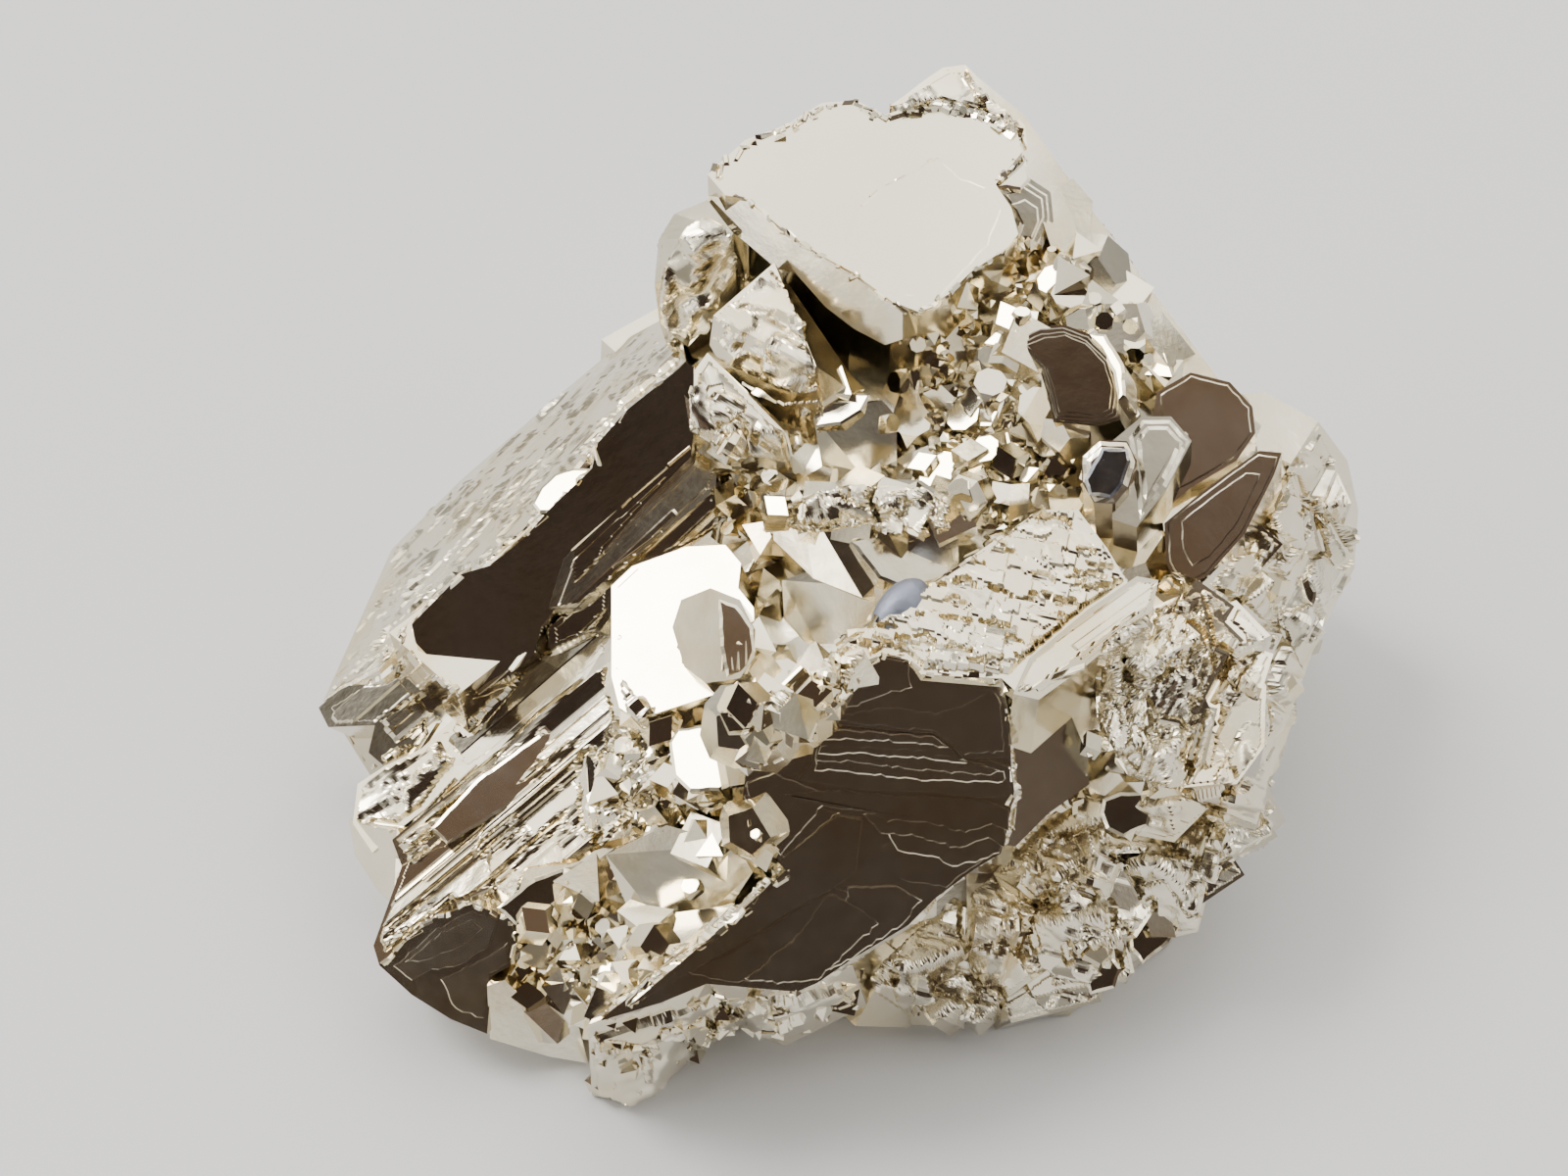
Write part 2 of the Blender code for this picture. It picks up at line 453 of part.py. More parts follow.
def spread_points(patch, count, dice):
    """Points strewn over a patch, each the farthest from the others of a few throws."""
    us = [u for u, v in patch]
    vs = [v for u, v in patch]
    strewn = []
    while len(strewn) < count:
        throws = [(dice.uniform(min(us), max(us)), dice.uniform(min(vs), max(vs))) for _ in range(24)]
        throws = [t for t in throws if inside(t, patch)]
        if throws:
            strewn.append(max(throws, key=lambda t: min([math.dist(t, s) for s in strewn], default=1.0)))
    return strewn


def sprout(place, outward, size, habit, sunk, dice):
    """A small crystal grown from a place, its middle sunk a little under the face it grows from."""
    turn = Euler([dice.uniform(-math.pi, math.pi) for _ in range(3)]).to_matrix()
    middle = place - outward * size * sunk
    return hull([middle + turn @ Vector(corner) * size / 2 for corner in HABITS[habit]])


def ledge(place, outward, size, sunk, dice):
    """A brick on a side wall, in the stance of the top block with a little play."""
    play = [math.radians(dice.gauss(0, 5)) for _ in range(3)]
    turn = Euler((play[0], play[1], play[2] + math.radians(WALL_TURN_DEG))).to_matrix()
    middle = place - outward * size * sunk
    stretch = [dice.uniform(0.7, 1.4), dice.uniform(0.7, 1.4), dice.uniform(0.5, 0.9)]
    corners = [Vector(c) * size / 2 for c in HABITS["cube"]]
    return hull([middle + turn @ Vector([c[i] * stretch[i] for i in range(3)]) for c in corners])


def skin_of(target):
    """The target's surface, ready for sight lines, in millimetres."""
    bm = bmesh.new()
    bm.from_mesh(target.data)
    bmesh.ops.scale(bm, vec=(1 / MM, 1 / MM, 1 / MM), verts=bm.verts)
    skin = BVHTree.FromBMesh(bm)
    bm.free()
    return skin


def small_crystals(skin):
    """Every small crystal of the druse patches and every ledge of the sides."""
    dice = random.Random(SEED)
    grown = []
    for spec in DRUSE_PATCHES:
        for point in spread_points(spec["patch"], spec["count"], dice):
            eye, ray = sight_line(*point)
            place, outward, _, _ = skin.ray_cast(eye, ray)
            size = dice.uniform(*spec["sizes"])
            habit = dice.choice(spec["habits"])
            if place:
                grown.append(sprout(place, outward, size, habit, spec["sunk"], dice))
    for _ in range(LEDGE_THROWS):
        bearing = dice.uniform(0, math.tau)
        level = Vector((0.0, 0.0, dice.uniform(*LEDGE_HEIGHTS)))
        start = level + Vector((math.cos(bearing), math.sin(bearing), 0.0)) * FAR_OUT
        place, outward, _, _ = skin.ray_cast(start, level + BODY_MIDDLE - start)
        size = dice.uniform(*LEDGE_SIZES)
        if place and is_hidden(place + outward * size, skin):
            grown.append(ledge(place, outward, size, LEDGE_SUNK, dice))
    return grown


def is_hidden(place, skin):
    """Whether the crystals in front hide a place from the eye."""
    eye = eye_axes()[3]
    sight = place - eye
    blocked = skin.ray_cast(eye, sight)[0]
    return blocked is not None and (blocked - eye).length < sight.length


def stand_on_middle(target):
    """Shift the mesh so that the middle of its footprint's box is the origin."""
    spots = [vertex.co for vertex in target.data.vertices]
    low = Vector([min(spot[i] for spot in spots) for i in range(3)])
    high = Vector([max(spot[i] for spot in spots) for i in range(3)])
    middle = Vector(((low.x + high.x) / 2, (low.y + high.y) / 2, low.z))
    for vertex in target.data.vertices:
        vertex.co -= middle
    print("footprint's middle, mm:", [round(c / MM, 2) for c in middle])


def pyrite_material():
    """Pale brassy mirror metal."""
    material = bpy.data.materials.new("pyrite")
    material.use_nodes = True
    shader = material.node_tree.nodes["Principled BSDF"]
    shader.inputs["Base Color"].default_value = (0.66, 0.60, 0.46, 1.0)
    shader.inputs["Metallic"].default_value = 1.0
    shader.inputs["Roughness"].default_value = 0.18
    return material


def main():
    for leftover in list(bpy.data.objects):
        bpy.data.objects.remove(leftover)
    prisms = LEFT_BLADES + TOP_CRYSTALS + FRONT_CRYSTALS + LEAVES + HOLLOW_CRYSTALS + [DRUSE_SHELF]
    chief = [crystal(**spec) for spec in prisms]
    chief += [knot(**spec) for spec in KNOTS]
    chief += [block(**spec) for spec in BACK_BLOCKS]
    cluster = mesh_object("pyrite_cluster", body(), bpy.context.scene.collection)
    fuse(cluster, helpers("chief_crystals", chief))
    settled(cluster)
    fuse(cluster, helpers("small_crystals", small_crystals(skin_of(cluster))))
    table = block(middle=(0, 0, -FAR_OUT), size=(2 * FAR_OUT, 2 * FAR_OUT, 2 * FAR_OUT), turn=(0, 0, 0))
    fuse(cluster, helpers("below_the_table", [table]), "DIFFERENCE")
    settled(cluster)
    keep_outer_skin(cluster)
    cluster.data.materials.clear()
    cluster.data.materials.append(pyrite_material())
    stand_on_middle(cluster)


main()
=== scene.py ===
# %% [markdown]
# A pyrite cluster, dressed on its solid
#
# Pyrite is a brassy mirror of iron and sulphur. This specimen is one lump of crystals that grew into each
# other: big flat faces with thin growth steps, long striated blades, etched slopes and a hollow full of small
# crystals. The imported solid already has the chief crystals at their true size. This lesson keeps that solid's
# shape and gives it what a hand lens would show: steps, striations, pits, chips and glitter.

import math
import random

import bmesh
import bpy
import numpy as np
from mathutils import Matrix, Vector
from mathutils.bvhtree import BVHTree


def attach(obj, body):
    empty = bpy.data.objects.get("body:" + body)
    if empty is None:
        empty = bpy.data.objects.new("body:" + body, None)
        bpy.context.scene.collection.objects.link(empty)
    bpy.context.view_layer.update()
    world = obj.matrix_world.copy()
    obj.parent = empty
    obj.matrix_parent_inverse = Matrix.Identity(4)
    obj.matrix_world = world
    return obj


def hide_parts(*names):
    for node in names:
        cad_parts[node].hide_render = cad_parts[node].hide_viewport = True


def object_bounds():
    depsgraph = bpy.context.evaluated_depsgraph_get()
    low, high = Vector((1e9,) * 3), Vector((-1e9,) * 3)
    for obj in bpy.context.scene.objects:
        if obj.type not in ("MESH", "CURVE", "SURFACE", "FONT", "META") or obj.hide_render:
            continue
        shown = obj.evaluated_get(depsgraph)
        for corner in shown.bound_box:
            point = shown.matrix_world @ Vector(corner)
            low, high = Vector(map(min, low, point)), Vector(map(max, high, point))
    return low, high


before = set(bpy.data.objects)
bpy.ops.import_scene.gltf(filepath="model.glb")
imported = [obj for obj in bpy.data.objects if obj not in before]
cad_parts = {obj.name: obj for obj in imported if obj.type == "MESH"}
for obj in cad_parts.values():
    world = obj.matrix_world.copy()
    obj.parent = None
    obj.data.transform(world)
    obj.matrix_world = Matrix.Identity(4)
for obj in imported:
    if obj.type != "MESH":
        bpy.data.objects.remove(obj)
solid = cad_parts["pyrite_cluster"]
cad_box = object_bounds()
MM = 0.001
print("solid, mm:", [round(s / MM, 1) for s in cad_box[1] - cad_box[0]])

# %% [markdown]
# The eye
#
# The outlines of the chief faces are read from a picture taken from 52 degrees above the table. A picture
# point is a sight line, and the solid says where that line lands. So every piece below is placed by what the
# eye sees but sits on the solid, and it is right from every other side as well.

# %% Sight lines
EYE_TILT = math.radians(52.0)
EYE_DISTANCE = 215.0 * MM
EYE_AIM = Vector((-6.04, -0.89, 20.0)) * MM
LENS, SENSOR = 50.0, 36.0
PICTURE_WIDTH, PICTURE_HEIGHT = 1600, 1200
EYE_FORWARD = Vector((0.0, math.cos(EYE_TILT), -math.sin(EYE_TILT)))
EYE_UP = Vector((0.0, math.sin(EYE_TILT), math.cos(EYE_TILT)))
EYE_RIGHT = Vector((1.0, 0.0, 0.0))
EYE = EYE_AIM - EYE_FORWARD * EYE_DISTANCE
PIXEL = SENSOR / LENS / PICTURE_WIDTH
POINT_MM = EYE_DISTANCE * PIXEL / MM

solid_tree = BVHTree.FromPolygons([v.co for v in solid.data.vertices],
                                  [p.vertices for p in solid.data.polygons])


def eye_ray(u, v):
    """Where the eye's sight line for picture point (u, v) starts, and its direction."""
    across, rise = (u - PICTURE_WIDTH / 2) * PIXEL, (PICTURE_HEIGHT / 2 - v) * PIXEL
    return EYE, (EYE_FORWARD + EYE_RIGHT * across + EYE_UP * rise).normalized()


def seen(u, v, ray=eye_ray):
    """The place on the solid that is seen at (u, v), and the way its face looks; None off the solid."""
    place, normal, _, _ = solid_tree.ray_cast(*ray(u, v))
    return (place, normal) if place else None


def pictured(place):
    """The picture point at which the eye sees a place."""
    sightline = place - EYE
    depth = sightline.dot(EYE_FORWARD)
    u = sightline.dot(EYE_RIGHT) / depth / PIXEL + PICTURE_WIDTH / 2
    return u, PICTURE_HEIGHT / 2 - sightline.dot(EYE_UP) / depth / PIXEL


def inside(us, vs, patch):
    """Which picture points lie in a patch."""
    hit = np.zeros(np.shape(us), bool)
    for (a, b), (c, d) in zip(patch, patch[1:] + patch[:1]):
        if b != d:
            hit ^= ((b > vs) != (d > vs)) & (us < (c - a) * (vs - b) / (d - b) + a)
    return hit


FRONT_FACE = seen(960, 880)
TOP_FACE = seen(830, 180)
CORNER_FACE = seen(450, 985)
for title, face in [("front", FRONT_FACE), ("top", TOP_FACE), ("corner", CORNER_FACE)]:
    print(title, "face looks", [round(n, 2) for n in face[1]], "from height", round(face[0].z / MM, 1), "mm")

# %% [markdown]
# Writing shader maths
#
# A finish is a small network of nodes. Writing it as sums keeps it short, so one class wraps a socket and
# turns plus, minus and times into Math nodes, and one method adds any other node.

# %% Shader helpers


class Wire:
    """A node's output that can stand in a sum."""

    def __init__(self, recipe, socket):
        self.recipe = recipe
        self.socket = socket

    def maths(self, operation, first, second):
        return self.recipe.node("ShaderNodeMath", {"operation": operation}, {0: first, 1: second})

    def __add__(self, other):
        return self.maths("ADD", self, other)

    def __sub__(self, other):
        return self.maths("SUBTRACT", self, other)

    def __rsub__(self, other):
        return self.maths("SUBTRACT", other, self)

    def __mul__(self, other):
        return self.maths("MULTIPLY", self, other)

    __radd__, __rmul__ = __add__, __mul__


class Recipe:
    """A material's or a world's nodes."""

    def __init__(self, owner):
        owner.use_nodes = True
        self.owner = owner
        self.tree = owner.node_tree
        self.tree.nodes.clear()

    def node(self, kind, settings=None, sockets=None, out=0):
        made = self.tree.nodes.new(kind)
        for name, value in (settings or {}).items():
            setattr(made, name, value)
        for name, value in (sockets or {}).items():
            if isinstance(value, Wire):
                self.tree.links.new(value.socket, made.inputs[name])
            else:
                made.inputs[name].default_value = value
        return Wire(self, made.outputs[out]) if made.outputs else None

    def mixed(self, share, low, high):
        """A colour between two, by a share from 0 to 1."""
        return self.node("ShaderNodeMix", {"data_type": "RGBA"}, {0: share, 6: low, 7: high}, out=2)

    def rise(self, value, low, high):
        """0 under low, 1 over high, and a smooth rise between them."""
        settings = {"interpolation_type": "SMOOTHSTEP"}
        return self.node("ShaderNodeMapRange", settings, {"Value": value, "From Min": low, "From Max": high})

    def place(self, turn=(0, 0, 0), stretch=(1, 1, 1)):
        """Object coordinates, turned and then stretched."""
        where = self.node("ShaderNodeTexCoord", out="Object")
        turned = self.node("ShaderNodeMapping", None, {"Vector": where, "Rotation": turn})
        return self.node("ShaderNodeMapping", None, {"Vector": turned, "Scale": stretch})

    def noise(self, where, size, detail=3.0, rough=0.5):
        """Cloudy noise, its features about size millimetres across."""
        sockets = {"Vector": where, "Scale": 1 / (size * MM), "Detail": detail, "Roughness": rough}
        return self.node("ShaderNodeTexNoise", None, sockets)

    def cells(self, where, size, out="Distance"):
        """Cell noise, its cells about size millimetres across."""
        return self.node("ShaderNodeTexVoronoi", None, {"Vector": where, "Scale": 1 / (size * MM)}, out=out)

# %% [markdown]
# The finishes
#
# All of it is the same metal: a pale champagne mirror, warmer and a little olive where small crystals crowd.
# What differs is the relief. Great faces are nearly flat, with a faint ripple. Blades carry fine lines along
# their length. Etched slopes are pitted. Each finish is therefore one metal recipe with its own fine relief,
# in real millimetres, and the deeper steps are modelled. One core and one grain have a dark blue tarnish.

# %% The metal and its reliefs
PALE = (0.74, 0.69, 0.56, 1.0)
WARM = (0.70, 0.61, 0.43, 1.0)
GOLD = (0.72, 0.62, 0.40, 1.0)
BLUISH = (0.24, 0.26, 0.33, 1.0)
CLOUD_SIZE, SMEAR_SIZE = 9.0, 1.6


def metal(name, pale, warm, rough, relief, depth):
    """Pyrite with two tones in clouds, a roughness range and a fine relief: a function of the recipe."""
    recipe = Recipe(bpy.data.materials.new(name))
    plain = recipe.place()
    clouds = recipe.rise(recipe.noise(plain, CLOUD_SIZE, 4.0, 0.6), 0.4, 0.7)
    smears = recipe.noise(plain, SMEAR_SIZE, 5.0, 0.65)
    heights = {"Height": relief(recipe), "Distance": depth * MM, "Strength": 1.0}
    sockets = {
        "Base Color": recipe.mixed(clouds, pale, warm),
        "Metallic": 1.0,
        "Roughness": rough[0] + (rough[1] - rough[0]) * smears,
        "Normal": recipe.node("ShaderNodeBump", None, heights),
    }
    shader = recipe.node("ShaderNodeBsdfPrincipled", None, sockets)
    recipe.node("ShaderNodeOutputMaterial", None, {"Surface": shader})
    return recipe.owner


def ripple(recipe):
    """The faint unevenness of a grown mirror face."""
    return recipe.noise(recipe.place(), 7.0, 2.0, 0.4) + 0.05 * recipe.noise(recipe.place(), 0.5, 2.0)


def fine_lines(turn, pitch):
    """Fine lines along the turned X axis, a pitch in millimetres apart, that come and go."""

    def relief(recipe):
        along = recipe.place(turn, (0.06, 1.0, 1.0))
        coarse = recipe.noise(along, pitch * 2.6, 2.0, 0.4)
        return coarse + 0.4 * recipe.noise(along, pitch, 3.0, 0.6)

    return relief


def fine_pits(recipe):
    """Grain and pits of an etched slope."""
    return recipe.cells(recipe.place(), 0.7) + 0.6 * recipe.noise(recipe.place(), 0.3, 4.0, 0.7)


BLADE_TURN = (0.0, math.radians(-28.0), math.radians(-43.0))
LINE_PITCH = 0.5
RECIPES = {
    "pyrite_crystal": (PALE, WARM, (0.10, 0.22), ripple, 0.12),
    "pyrite_mirror": (PALE, PALE, (0.14, 0.20), ripple, 0.05),
    "pyrite_dark_face": (PALE, WARM, (0.14, 0.24), fine_lines((0, 0, 0), LINE_PITCH), 0.012),
    "pyrite_blade": (PALE, WARM, (0.08, 0.18), fine_lines(BLADE_TURN, LINE_PITCH), 0.03),
    "pyrite_etched": (PALE, WARM, (0.12, 0.28), fine_pits, 0.025),
    "pyrite_small": (PALE, GOLD, (0.05, 0.16), ripple, 0.06),
    "pyrite_blue": (BLUISH, PALE, (0.12, 0.35), ripple, 0.3),
    "pyrite_tarnished": (BLUISH, BLUISH, (0.45, 0.65), fine_pits, 0.04),
}
FINISHES = {name: metal(name, *recipe) for name, recipe in RECIPES.items()}
print("finishes:", ", ".join(FINISHES))

# %% [markdown]
# The skin
#
# The solid's own skin stays the shape of the specimen. A real crystal edge is never a perfect line: it is a
# hair's breadth of worn or chipped metal that catches the light. So a copy of the skin is merged, its flat
# regions are dissolved into single faces, and a narrow bevel rounds each edge. Each face then gets the finish
# of the crystal it belongs to, found by where the eye sees it and by the way it looks.

# %% Copy the skin and soften its edges
EDGE_WEAR = 0.13
WORN_ANGLE = math.radians(22)


def new_piece(name, corners, faces):
    """A mesh object from corners and faces, linked to the scene."""
    mesh = bpy.data.meshes.new(name)
    mesh.from_pydata(corners, [], faces)
    made = bpy.data.objects.new(name, mesh)
    bpy.context.scene.collection.objects.link(made)
    return made


def settle(piece, name, *finishes):
    """Name a piece, give it its finishes and let it ride on the cluster."""
    piece.name = name
    piece.data.name = name
    for finish in finishes:
        piece.data.materials.append(FINISHES[finish])
    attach(piece, "root")
    print(name, "has", sum(len(p.vertices) - 2 for p in piece.data.polygons), "triangles")
    return piece


def edit(thing):
    """Open one piece in edit mode, with nothing in it selected."""
    bpy.ops.object.select_all(action="DESELECT")
    thing.select_set(True)
    bpy.context.view_layer.objects.active = thing
    bpy.ops.object.mode_set(mode="EDIT")
    bpy.ops.mesh.select_all(action="DESELECT")


def done():
    bpy.ops.object.mode_set(mode="OBJECT")


bpy.ops.object.select_all(action="DESELECT")
skin = bpy.data.objects.new("skin", solid.data.copy())
bpy.context.scene.collection.objects.link(skin)
skin.data.materials.clear()
edit(skin)
bpy.ops.mesh.select_all(action="SELECT")
bpy.ops.mesh.remove_doubles(threshold=0.001 * MM)
bpy.ops.mesh.dissolve_limited(angle_limit=math.radians(1.0))
done()

# %% Choose each face's finish
FRONT_PATCH = [(600, 1045), (720, 940), (740, 740), (860, 650), (1045, 670), (1045, 880), (860, 1020)]
LEFT_PATCH = [
    (320, 745), (420, 560), (690, 360), (750, 430), (740, 560), (640, 600), (660, 700), (400, 890),
    (350, 800),
]
CORNER_RIGHT_END = 610


def looks_along(normal, face, degrees):
    return normal.angle(face[1]) < math.radians(degrees)


def in_eye_view(place):
    """Whether the eye sees a place on the solid, to within a millimetre."""
    hit = solid_tree.ray_cast(EYE, (place - EYE).normalized())[0]
    return hit is not None and (hit - place).length < 1.0 * MM


def finish_of(polygon):
    """The finish of a face of the skin, by its place in the picture and by the way it looks."""
    u, v = pictured(polygon.center)
    if not in_eye_view(polygon.center):
        return "pyrite_crystal"
    if looks_along(polygon.normal, TOP_FACE, 4) and polygon.center.z > 0.9 * TOP_FACE[0].z:
        return "pyrite_mirror"
    if inside(u, v, LEFT_PATCH):
        return "pyrite_blade"
    if looks_along(polygon.normal, FRONT_FACE, 7) and (inside(u, v, FRONT_PATCH) or u < CORNER_RIGHT_END):
        return "pyrite_dark_face"
    return "pyrite_crystal"


slots = list(FINISHES)
for polygon in skin.data.polygons:
    polygon.material_index = slots.index(finish_of(polygon))
    polygon.use_smooth = False

wear = skin.modifiers.new("worn edges", "BEVEL")
wear.width = EDGE_WEAR * MM
wear.segments = 1
wear.limit_method = "ANGLE"
wear.angle_limit = WORN_ANGLE
bpy.ops.object.modifier_apply(modifier=wear.name)
settle(skin, "crystal_skin", *FINISHES)
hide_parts("pyrite_cluster")

# %% [markdown]
# Growth steps
#
# A great face grows by thin sheets that spread over it, and the rims of the unfinished sheets show as fine
# bright lines. They could be drawn as bump, but a real rim throws its own small highlight, so each sheet is a
# closed plate with a ragged outline, laid on its face, and an inset that also lifts makes its sloping rim.

# %% Plates with sloping rims


def laid(outline, face, lift):
    """An outline in the picture, carried along the sight lines onto a face raised by a lift in mm."""
    point = face[0] + face[1] * lift * MM
    rays = [eye_ray(u, v)[1] for u, v in outline]
    return [EYE + ray * ((point - EYE).dot(face[1]) / ray.dot(face[1])) for ray in rays]


def ragged(outline, pitch, play, dice):
    """An outline with points every pitch pixels, each moved a little."""
    points = []
    for (a, b), (c, d) in zip(outline, outline[1:] + outline[:1]):
        count = max(1, round(math.dist((a, b), (c, d)) / pitch))
        for t in [n / count for n in range(count)]:
            u, v = a + (c - a) * t, b + (d - b) * t
            points.append((u + dice.uniform(-play, play), v + dice.uniform(-play, play)))
    return points


def plates(name, sheets, finish, rim, root=0.5):
    """Thin closed sheets, each an outline, its face, its lift and its own rise, joined in one piece. Their
    rims slope over a width, and they reach down by a root, both in millimetres."""
    corners, faces, tops = [], [], []
    for outline, face, lift, rise in sheets:
        top = laid(outline, face, lift - rise)
        deep = [p - face[1] * root * MM for p in top]
        first, count = len(corners), len(top)
        corners += top + deep
        tops.append((len(faces), rise))
        faces.append([first + n for n in range(count)])
        faces.append([first + count + n for n in reversed(range(count))])
        for n in range(count):
            after = (n + 1) % count
            faces.append([first + n, first + count + n, first + count + after, first + after])
    made = new_piece(name, corners, faces)
    edit(made)
    bpy.ops.mesh.select_all(action="SELECT")
    bpy.ops.mesh.normals_make_consistent(inside=False)
    for rise in sorted({rise for _, rise in tops}):
        bpy.ops.mesh.select_all(action="DESELECT")
        shape = bmesh.from_edit_mesh(made.data)
        shape.faces.ensure_lookup_table()
        for index, own in tops:
            shape.faces[index].select_set(own == rise)
        bmesh.update_edit_mesh(made.data)
        bpy.ops.mesh.inset(thickness=rim * MM, depth=rise * MM, use_individual=True, use_even_offset=False)
    done()
    return settle(made, name, finish)


# %% Steps of the front face
FRONT_STEPS = [
    (
        2.42, 0.10,
        [
            (850, 728), (872, 702), (882, 682), (902, 670), (926, 676), (930, 702), (905, 708), (880, 718),
            (858, 726),
        ],
    ),
    (
        2.36, 0.07,
        [
            (845, 732), (905, 722), (955, 728), (990, 718), (1010, 704), (1020, 712), (1024, 740),
            (1024, 768), (984, 770), (973, 760), (952, 745), (927, 744), (874, 739),
        ],
    ),
    (
        2.05, 0.10,
        [(838, 744), (874, 745), (927, 750), (952, 752), (968, 763), (940, 760), (900, 756), (838, 754)],
    ),
    (1.98, 0.08, [(838, 744), (927, 750), (968, 763), (985, 776), (940, 767), (880, 763), (838, 762)]),
    (1.91, 0.08, [(837, 744), (927, 750), (984, 776), (1006, 781), (960, 776), (890, 770), (836, 769)]),
    (1.84, 0.08, [(836, 744), (984, 776), (1020, 786), (1012, 792), (940, 786), (870, 778), (834, 776)]),
    (1.77, 0.08, [(835, 744), (984, 778), (1026, 788), (1024, 799), (940, 796), (870, 788), (832, 786)]),
    (
        1.30, 0.10,
        [
            (800, 812), (847, 806), (885, 810), (1008, 818), (1030, 826), (1028, 848), (1012, 842),
            (985, 850), (940, 838), (905, 838), (880, 828), (840, 822),
        ],
    ),
    (1.20, 0.09, [(880, 830), (1028, 830), (1026, 866), (1008, 856), (975, 866), (935, 853), (900, 850)]),
    (1.11, 0.09, [(905, 850), (1026, 850), (1020, 870), (995, 880), (972, 884), (952, 875), (915, 868)]),
    (1.02, 0.09, [(900, 862), (1018, 866), (990, 888), (965, 905), (925, 900), (912, 888)]),
    (
        1.20, 0.10,
        [(762, 800), (790, 788), (812, 798), (846, 812), (832, 832), (796, 872), (782, 858), (764, 830)],
    ),
    (1.10, 0.09, [(760, 812), (800, 812), (856, 830), (800, 876), (784, 861), (761, 832)]),
    (
        1.32, 0.10,
        [(846, 912), (880, 928), (896, 944), (860, 975), (836, 1000), (800, 1004), (760, 1000), (810, 960)],
    ),
    (1.20, 0.10, [(866, 905), (915, 905), (940, 918), (925, 940), (869, 978), (846, 990), (860, 950)]),
    (
        1.10, 0.09,
        [(700, 992), (752, 968), (810, 930), (850, 906), (868, 912), (840, 960), (800, 1000), (740, 1002)],
    ),
]
FRONT_LEVEL = 0.96
STEP_SHARES = [0.14, 0.2, 0.26, 0.4]
STEP_RIM = 0.11
dice = random.Random(11)
front_sheets = [
    (ragged(outline, 6.0, 1.5, dice), FRONT_FACE, lift - FRONT_LEVEL, rise * dice.choice(STEP_SHARES))
    for lift, rise, outline in FRONT_STEPS]
plates("front_growth_steps", front_sheets, "pyrite_dark_face", STEP_RIM)

# %% Steps of the top face and the corner crystal
TOP_STEP = [
    (873, 214), (903, 190), (957, 161), (980, 182), (1006, 192), (1022, 214), (1008, 250), (960, 302),
    (915, 302), (884, 280), (862, 246),
]
top_sheet = (ragged(TOP_STEP, 9.0, 0.8, dice), TOP_FACE, 0.03, 0.03)
plates("top_growth_step", [top_sheet], "pyrite_mirror", rim=0.16)
CORNER_STEPS = [
    (0.12, [(402, 986), (445, 948), (480, 930), (508, 940), (500, 965), (470, 985), (440, 990), (420, 1000)]),
    (0.20, [(412, 982), (450, 952), (480, 938), (492, 948), (470, 966), (436, 980)]),
    (0.12, [(450, 1000), (500, 975), (518, 962), (518, 984), (500, 994), (494, 1040), (465, 1030)]),
]
corner_sheets = [(ragged(outline, 7.0, 1.2, dice), CORNER_FACE, lift, 0.014)
                 for lift, outline in CORNER_STEPS]
plates("corner_growth_steps", corner_sheets, "pyrite_dark_face", STEP_RIM)

# %% [markdown]
# Ringed crystals
#
# The flat crystals on the right grew in terraces: each later sheet is a little smaller than the one under
# it, so a flat face is framed by bright sloping rims. Each is a stack of plates on the solid's own face,
# every one drawn in towards its middle, with wide rims that slope enough to leave the dark part of the room.

# %% Terraces on the flat crystals


def shrunk(outline, share, dice):
    """An outline drawn in towards a place near its middle."""
    u, v = (sum(c) / len(outline) + dice.uniform(-6, 6) for c in zip(*outline))
    return [(u + (a - u) * share, v + (b - v) * share) for a, b in outline]


RINGED = {
    "inner_block": (
        (1130, 480), 0.2, 0.16, (0.96, 0.78),
        [
            (1104, 465), (1122, 449), (1150, 450), (1160, 470), (1152, 497), (1138, 514), (1116, 513),
            (1104, 492),
        ],
    ),
    "outer_block": (
        (1190, 450), 0.2, 0.16, (0.95, 0.74),
        [(1150, 446), (1165, 427), (1195, 427), (1215, 450), (1190, 500), (1162, 534)],
    ),
    "shield": (
        (1225, 430), 0.2, 0.04, (0.97,),
        [
            (1182, 402), (1215, 382), (1254, 392), (1276, 416), (1279, 441), (1260, 468), (1215, 494),
            (1180, 510), (1196, 455), (1186, 432),
        ],
    ),
    "leaf": (
        (1250, 530), 0.2, 0.04, (0.97, 0.70),
        [
            (1190, 534), (1236, 497), (1285, 462), (1306, 464), (1298, 485), (1268, 544), (1231, 586),
            (1206, 600), (1192, 574),
        ],
    ),
    "bronze": (
        (1110, 395), 1.2, 0.03, (0.98, 0.90, 0.82),
        [
            (1036, 346), (1060, 335), (1085, 333), (1111, 343), (1134, 367), (1144, 398), (1141, 426),
            (1120, 433), (1077, 429), (1070, 400), (1062, 375),
        ],
    ),
    "striated": (
        (1050, 225), 0.2, 0.07, (0.9, 0.7, 0.5),
        [(1017, 191), (1045, 180), (1070, 197), (1073, 225), (1058, 260), (1030, 260), (1038, 232)],
    ),
}
RAGGED_PITCH, RAGGED_PLAY = 9.0, 0.6
TERRACE_GAP = 0.04
for title, (spot, lift, rise, shares, outline) in RINGED.items():
    stack = []
    for n, share in enumerate(shares):
        sheet = ragged(shrunk(outline, share, dice), RAGGED_PITCH, RAGGED_PLAY, dice)
        stack.append((sheet, seen(*spot), lift + (rise + TERRACE_GAP) * n, rise))
    plates(title + "_terraces", stack, "pyrite_crystal", rim=0.05 + 2.2 * rise, root=lift + 0.8)

# %% [markdown]
# Faces that mirror something else
#
# Some crystals stick out with one flat face that is white, brown or black while all around it is grey: it
# stands a little differently and so mirrors another part of the room. Each is a plate again. A mirror must
# stand halfway between the eye and what the eye sees in it, so that is the way in which each plate is turned.

